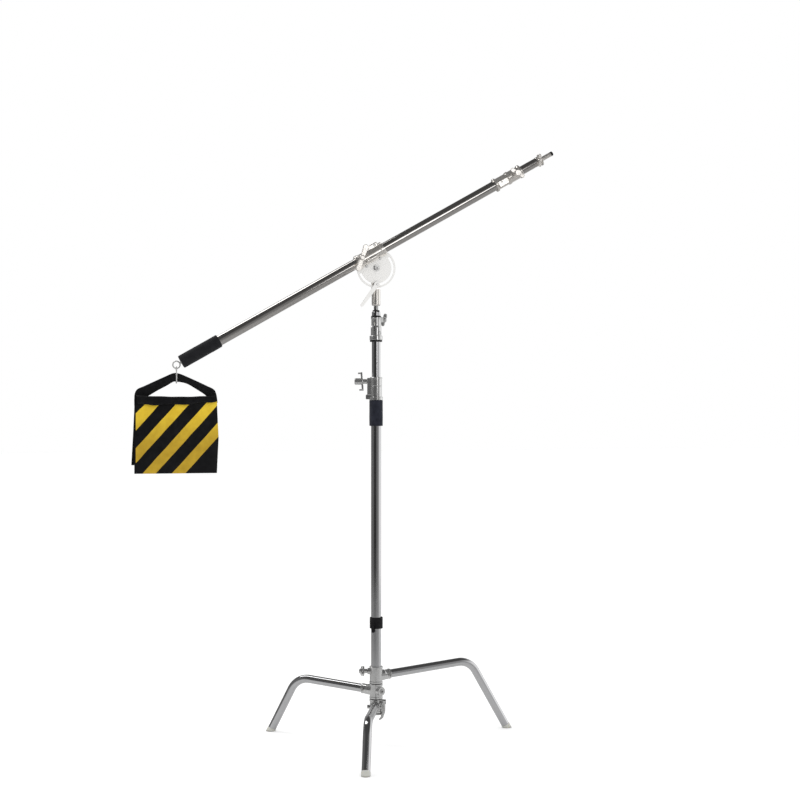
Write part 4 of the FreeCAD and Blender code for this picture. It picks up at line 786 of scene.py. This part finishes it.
POUCH_COLUMNS = 58
POUCH_ROWS = 48
POUCH_PRESSURE = 1.2
POUCH_FRAMES = 26        # frames the cloth runs for
POUCH_REACH = 0.012      # how far a simulated point may move from its start
POUCH_SLACK = 0.003      # and how far past the pouch's own box


def pouch_points(low, high):
    """A thin closed pillow as a wrapped grid: front sheet then back sheet, meeting at the edges."""
    mid_y = 0.5 * (low[1] + high[1])
    half = 0.5 * (high[1] - low[1])
    points, faces = [], []
    index = {}

    def vertex(i, j, side):
        edge = i in (0, POUCH_ROWS) or j in (0, POUCH_COLUMNS)
        key = (i, j, 0 if edge else side)
        if key not in index:
            u, v = j / POUCH_COLUMNS, i / POUCH_ROWS
            swell = (1 - abs(2 * u - 1) ** 4) * (1 - abs(2 * v - 1) ** 4)
            x = low[0] + (high[0] - low[0]) * u
            z = low[2] + (high[2] - low[2]) * v
            y = mid_y + side * half * 0.30 * swell
            index[key] = len(points)
            points.append(Vector((x, y, z)))
        return index[key]

    for side in (-1, 1):
        for i in range(POUCH_ROWS):
            for j in range(POUCH_COLUMNS):
                corners = ((i, j), (i, j + 1), (i + 1, j + 1), (i + 1, j))
                quad = tuple(vertex(row, column, side) for row, column in corners)
                faces.append(quad if side < 0 else quad[::-1])
    return points, faces


def pouch_cloth(piece):
    """Runs the pouch as cloth hung from its top edge and lightly filled, then keeps the shape."""
    mesh = piece.data
    top = max(v.co.z for v in mesh.vertices)
    pin = piece.vertex_groups.new(name="pin")
    pin.add([v.index for v in mesh.vertices if v.co.z > top - 0.004], 1.0, "REPLACE")
    cloth = piece.modifiers.new("cloth", "CLOTH")
    settings = cloth.settings
    settings.quality = 6
    settings.mass = 0.25
    settings.tension_stiffness = 18.0
    settings.compression_stiffness = 18.0
    settings.shear_stiffness = 6.0
    settings.bending_stiffness = 0.6
    settings.use_pressure = True
    settings.uniform_pressure_force = POUCH_PRESSURE
    settings.vertex_group_mass = "pin"
    cloth.collision_settings.use_collision = False
    cloth.point_cache.frame_end = POUCH_FRAMES
    scene = bpy.context.scene
    for number in range(1, POUCH_FRAMES + 1):
        scene.frame_set(number)
    graph = bpy.context.evaluated_depsgraph_get()
    posed = piece.evaluated_get(graph).to_mesh()
    shaped = [v.co.copy() for v in posed.vertices]
    piece.evaluated_get(graph).to_mesh_clear()
    piece.modifiers.remove(cloth)
    scene.frame_set(1)
    return shaped


def limit_to(points, rest, low, high):
    """Keeps each simulated point near its start and inside the pouch's own box."""
    kept = []
    for moved, start in zip(points, rest):
        step = moved - start
        if step.length > POUCH_REACH:
            step = step.normalized() * POUCH_REACH
        spot = start + step
        spot.y = min(max(spot.y, low[1] - POUCH_SLACK), high[1] + POUCH_SLACK)
        spot.z = max(spot.z, low[2] - POUCH_SLACK)
        kept.append(spot)
    return kept


def crumple(spot, low, high, seed):
    """Small hanging folds: long soft creases that fan down from the top corners, and dents."""
    u = (spot.x - low[0]) / (high[0] - low[0])
    v = (spot.z - low[2]) / (high[2] - low[2])
    fan = math.sin(26.0 * (u + 0.35 * (v - 0.5) * (1 if u > 0.5 else -1)) + seed)
    edge = min(1.0, 5 * u, 5 * (1 - u))
    folds = 0.0013 * fan * edge * max(0.0, v - 0.25)
    dents = 0.0030 * noise.noise(Vector((spot.x * 14.0 + seed, seed, spot.z * 11.0)))
    return folds + dents


TUCK = 0.014             # how far the pouch's top edge reaches up under the panel at its right end


def outline_shift(u, v, left, right):
    """How far a pouch's outline stands out sideways; left and right list it at foot, middle and top."""
    t = 2 * min(max(v, 0.0), 1.0)
    at = [a[0] + (a[1] - a[0]) * t if t < 1 else a[1] + (a[2] - a[1]) * (t - 1) for a in (left, right)]
    return (at[0] + (at[1] - at[0]) * min(max(u, 0.0), 1.0)) * MM


def make_pouch(name, node, seed, left, right):
    """A pouch as cloth, with its slanting sides and its foot a little below the moulded size."""
    low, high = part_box(node)
    points, faces = pouch_points(low, high)
    piece = mesh_piece(name, points, faces, bag_material, "sandbag")
    rest = [v.co.copy() for v in piece.data.vertices]
    shaped = limit_to(pouch_cloth(piece), rest, low, high)
    for vertex, spot in zip(piece.data.vertices, shaped):
        u, v = (spot.x - low[0]) / (high[0] - low[0]), (spot.z - low[2]) / (high[2] - low[2])
        spot.y += crumple(spot, low, high, seed)
        spot.x += outline_shift(u, v, left, right)
        spot.z += TUCK * u * u * max(0.0, v) ** 4
        vertex.co = spot
    piece.data.update()
    add_modifier(piece, "SUBSURF", levels=1, render_levels=1)
    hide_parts(node)


PANEL_LEFT = 0.011       # from the saddle box's left side to the panel's edge
PANEL_NARROW = 0.014     # how much narrower the panel is than the box
PANEL_TURN = 0.010       # radius of the folds at the front and back of its top
PANEL_STAND_OFF = 0.0035
GIRTH_STEPS = 200


def saddle_point(u, v, low, high):
    """The saddle panel: v runs from the front lower edge, over the top, to the back lower edge."""
    x = low[0] + PANEL_LEFT + (high[0] - low[0] - PANEL_NARROW) * u
    depth = 0.5 * (high[1] - low[1]) + PANEL_STAND_OFF
    drop = high[2] - low[2]
    sag = 0.0045 * math.sin(math.pi * u) + 0.0022 * noise.noise(Vector((u * 5.0, 3.0, 0.0)))
    top = high[2] - 0.001 - sag
    turn = PANEL_TURN
    straight = drop - turn + 0.006
    total = 2 * straight + 2 * (depth - turn) + math.pi * turn
    s = v * total
    if s < straight:
        y, z = -depth, top - turn - (straight - s)
    elif s < straight + 0.5 * math.pi * turn:
        a = (s - straight) / turn
        y, z = -depth + turn * (1 - math.cos(a)), top - turn + turn * math.sin(a)
    elif s < total - straight - 0.5 * math.pi * turn:
        y, z = -depth + turn + (s - straight - 0.5 * math.pi * turn), top
    elif s < total - straight:
        a = (s - (total - straight - 0.5 * math.pi * turn)) / turn
        y, z = depth - turn + turn * math.sin(a), top - turn + turn * math.cos(a)
    else:
        y, z = depth, top - turn - (s - (total - straight))
    edge = abs(2 * v - 1) ** 3
    z += edge * ((0.005 + 0.010 * u * u) if v < 0.5 else 0.004 * u)
    ripple = 0.0016 * math.sin(17.0 * u + (0.6 if v < 0.5 else 2.1))
    wave = edge * (ripple + 0.0030 * noise.noise(Vector((u * 7.0, v, 8.0))))
    return Vector((x, y + 0.4 * wave, z + wave))


def make_saddle():
    """The black panel folded over the tops of both pouches, with its sewn lower edges."""
    low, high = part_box("sandbag_saddle")
    rows, columns = 44, 90
    points = [saddle_point(j / (columns - 1), i / (rows - 1), low, high)
              for i in range(rows) for j in range(columns)]
    piece = mesh_piece("sandbag_top_panel", points, grid_faces(rows, columns), black_cloth_material,
                       "sandbag")
    add_modifier(piece, "SOLIDIFY", thickness=0.0013, offset=0.0)
    add_modifier(piece, "SUBSURF", levels=1, render_levels=1)
    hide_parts("sandbag_saddle")
    line = [saddle_point(0.5, i / GIRTH_STEPS, low, high) for i in range(GIRTH_STEPS + 1)]
    make_stitches(low, high)


STITCH_ROWS = (0.020, 0.060, 0.940, 0.980)      # places down the panel, as in saddle_point
STITCHES = 74
STITCH_LONG = 0.0075                            # as a share of the panel's width
THREAD_R, THREAD_END_R = 0.0004, 0.00012


def make_stitches(low, high):
    """Two rows of lock stitches along the panel's front and back lower edges."""
    points, faces = [], []
    for v_row in STITCH_ROWS:
        for n in range(STITCHES):
            u = 0.02 + 0.96 * n / (STITCHES - 1)
            a = saddle_point(u, v_row, low, high)
            b = saddle_point(u + STITCH_LONG, v_row, low, high)
            along = (b - a)
            out = Vector((0, -1 if v_row < 0.5 else 1, 0))
            up = along.normalized().cross(out)
            base = len(points)
            for t, r in ((0.0, THREAD_END_R), (0.15, THREAD_R), (0.85, THREAD_R), (1.0, THREAD_END_R)):
                centre = a + along * t + out * 0.0008
                for k in range(6):
                    angle = math.pi * k / 3
                    points.append(centre + (out * math.cos(angle) + up * math.sin(angle)) * r)
            faces += [tuple(base + i for i in face) for face in grid_faces(4, 6, False, True)]
            faces.append(tuple(base + k for k in range(6))[::-1])
            faces.append(tuple(base + 18 + k for k in range(6)))
    mesh_piece("sandbag_panel_stitches", points, faces, thread_material, "sandbag")


# stations of each strap limb: (top edge x, z), (bottom edge x, z), y of its middle; from the hook's line and
# the bag's top
LEFT_LIMB = (
    ((2, 76.5), (2, 45.5), 0.0), ((-14, 75), (-10, 46.0), -0.5), ((-40, 63.5), (-34, 32), -1.5),
    ((-75, 47.5), (-64, 16), -2.5), ((-108, 32), (-92, -1), -1.0), ((-131, 21.5), (-110, -11), 2.0),
    ((-140, 7), (-118, -22), 3.0), ((-142, -12), (-114, -27), 2.0), ((-142, -36), (-118, -38), 1.0),
)
RIGHT_LIMB = (
    ((-2, 76.5), (-2, 45.5), 0.6), ((14, 73), (12, 45.0), 0.0), ((42, 61), (36, 39), -1.5),
    ((74, 46.5), (64, 23), -2.5), ((106, 31.5), (92, 5), -1.0), ((127, 21), (108, -9), 2.0),
    ((135, 8), (114, -21), 3.0), ((139, -12), (110, -27), 2.0), ((140, -26), (109, -29), 1.0),
)


def smooth_between(stations, t):
    """A Catmull-Rom reading of a list of tuples of numbers, t from 0 to 1."""
    place = t * (len(stations) - 1)
    i = min(int(place), len(stations) - 2)
    f = place - i
    p = [stations[max(0, min(len(stations) - 1, i + k))] for k in (-1, 0, 1, 2)]
    made = []
    for a, b, c, d in zip(*p):
        made.append(0.5 * (2 * b + (c - a) * f + (2 * a - 5 * b + 4 * c - d) * f * f
                           + (3 * b - a - 3 * c + d) * f ** 3))
    return made


def make_limb(name, stations, layer, hook_x, top_z, material):
    """One layer of one limb of the carrying strap, as a ribbon with thickness."""
    flat = [(a[0], a[1], b[0], b[1], y) for a, b, y in stations]
    columns, rows = 11, 60
    points = []
    for i in range(rows):
        ax, az, bx, bz, y = smooth_between(flat, i / (rows - 1))
        for j in range(columns):
            s = j / (columns - 1)
            x, z = ax + (bx - ax) * s, az + (bz - az) * s
            cup = 0.7 * math.sin(math.pi * s) * (1 if layer < 0 else -1)
            ripple = 0.5 * noise.noise(Vector((x * 0.03, z * 0.05, layer)))
            points.append(Vector((hook_x + x * MM, (y + 1.35 * layer + cup + ripple) * MM, top_z + z * MM)))
    piece = mesh_piece(name, points, grid_faces(rows, columns), material, "sandbag")
    add_modifier(piece, "SOLIDIFY", thickness=0.0016, offset=0.0)
    add_modifier(piece, "SUBSURF", levels=1, render_levels=1)
    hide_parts("sandbag_strap")


def make_strap():
    hook_x = joint_of("hook_plumb")["pos_m"][0]
    top_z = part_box("sandbag_saddle")[1][2]
    for layer, side in ((-1, "front"), (1, "back")):
        make_limb("strap_left_" + side, LEFT_LIMB, layer, hook_x, top_z, webbing_left)
        make_limb("strap_right_" + side, RIGHT_LIMB, layer, hook_x, top_z, webbing_right)


def make_sandbag():
    make_pouch("sandbag_front_pouch_cloth", "sandbag_front_pouch", 0.4, (2, 2, 2), (0, 6, 0))
    make_pouch("sandbag_rear_pouch_cloth", "sandbag_rear_pouch", 2.3, (1, 7, 12), (0, 2, 4))
    make_saddle()
    make_strap()


# ---- build --------------------------------------------------------------------------------------

navy_foam = foam("navy_foam", (0.010, 0.0115, 0.021), (0.021, 0.024, 0.038))
black_foam = foam("black_foam", (0.0065, 0.0065, 0.0085), (0.014, 0.014, 0.017))
bag_material = striped_nylon(joint_of("hook_plumb")["pos_m"][0])
black_cloth_material = black_cloth()
webbing_flat = webbing("webbing_flat", 0.0)
webbing_left = webbing("webbing_left", math.radians(24.0))
webbing_right = webbing("webbing_right", math.radians(-24.0))
thread_material = sewing_thread()

make_camera()
make_studio()
finish_cad_nodes()
make_grips()
make_cable_strap()
make_sandbag()
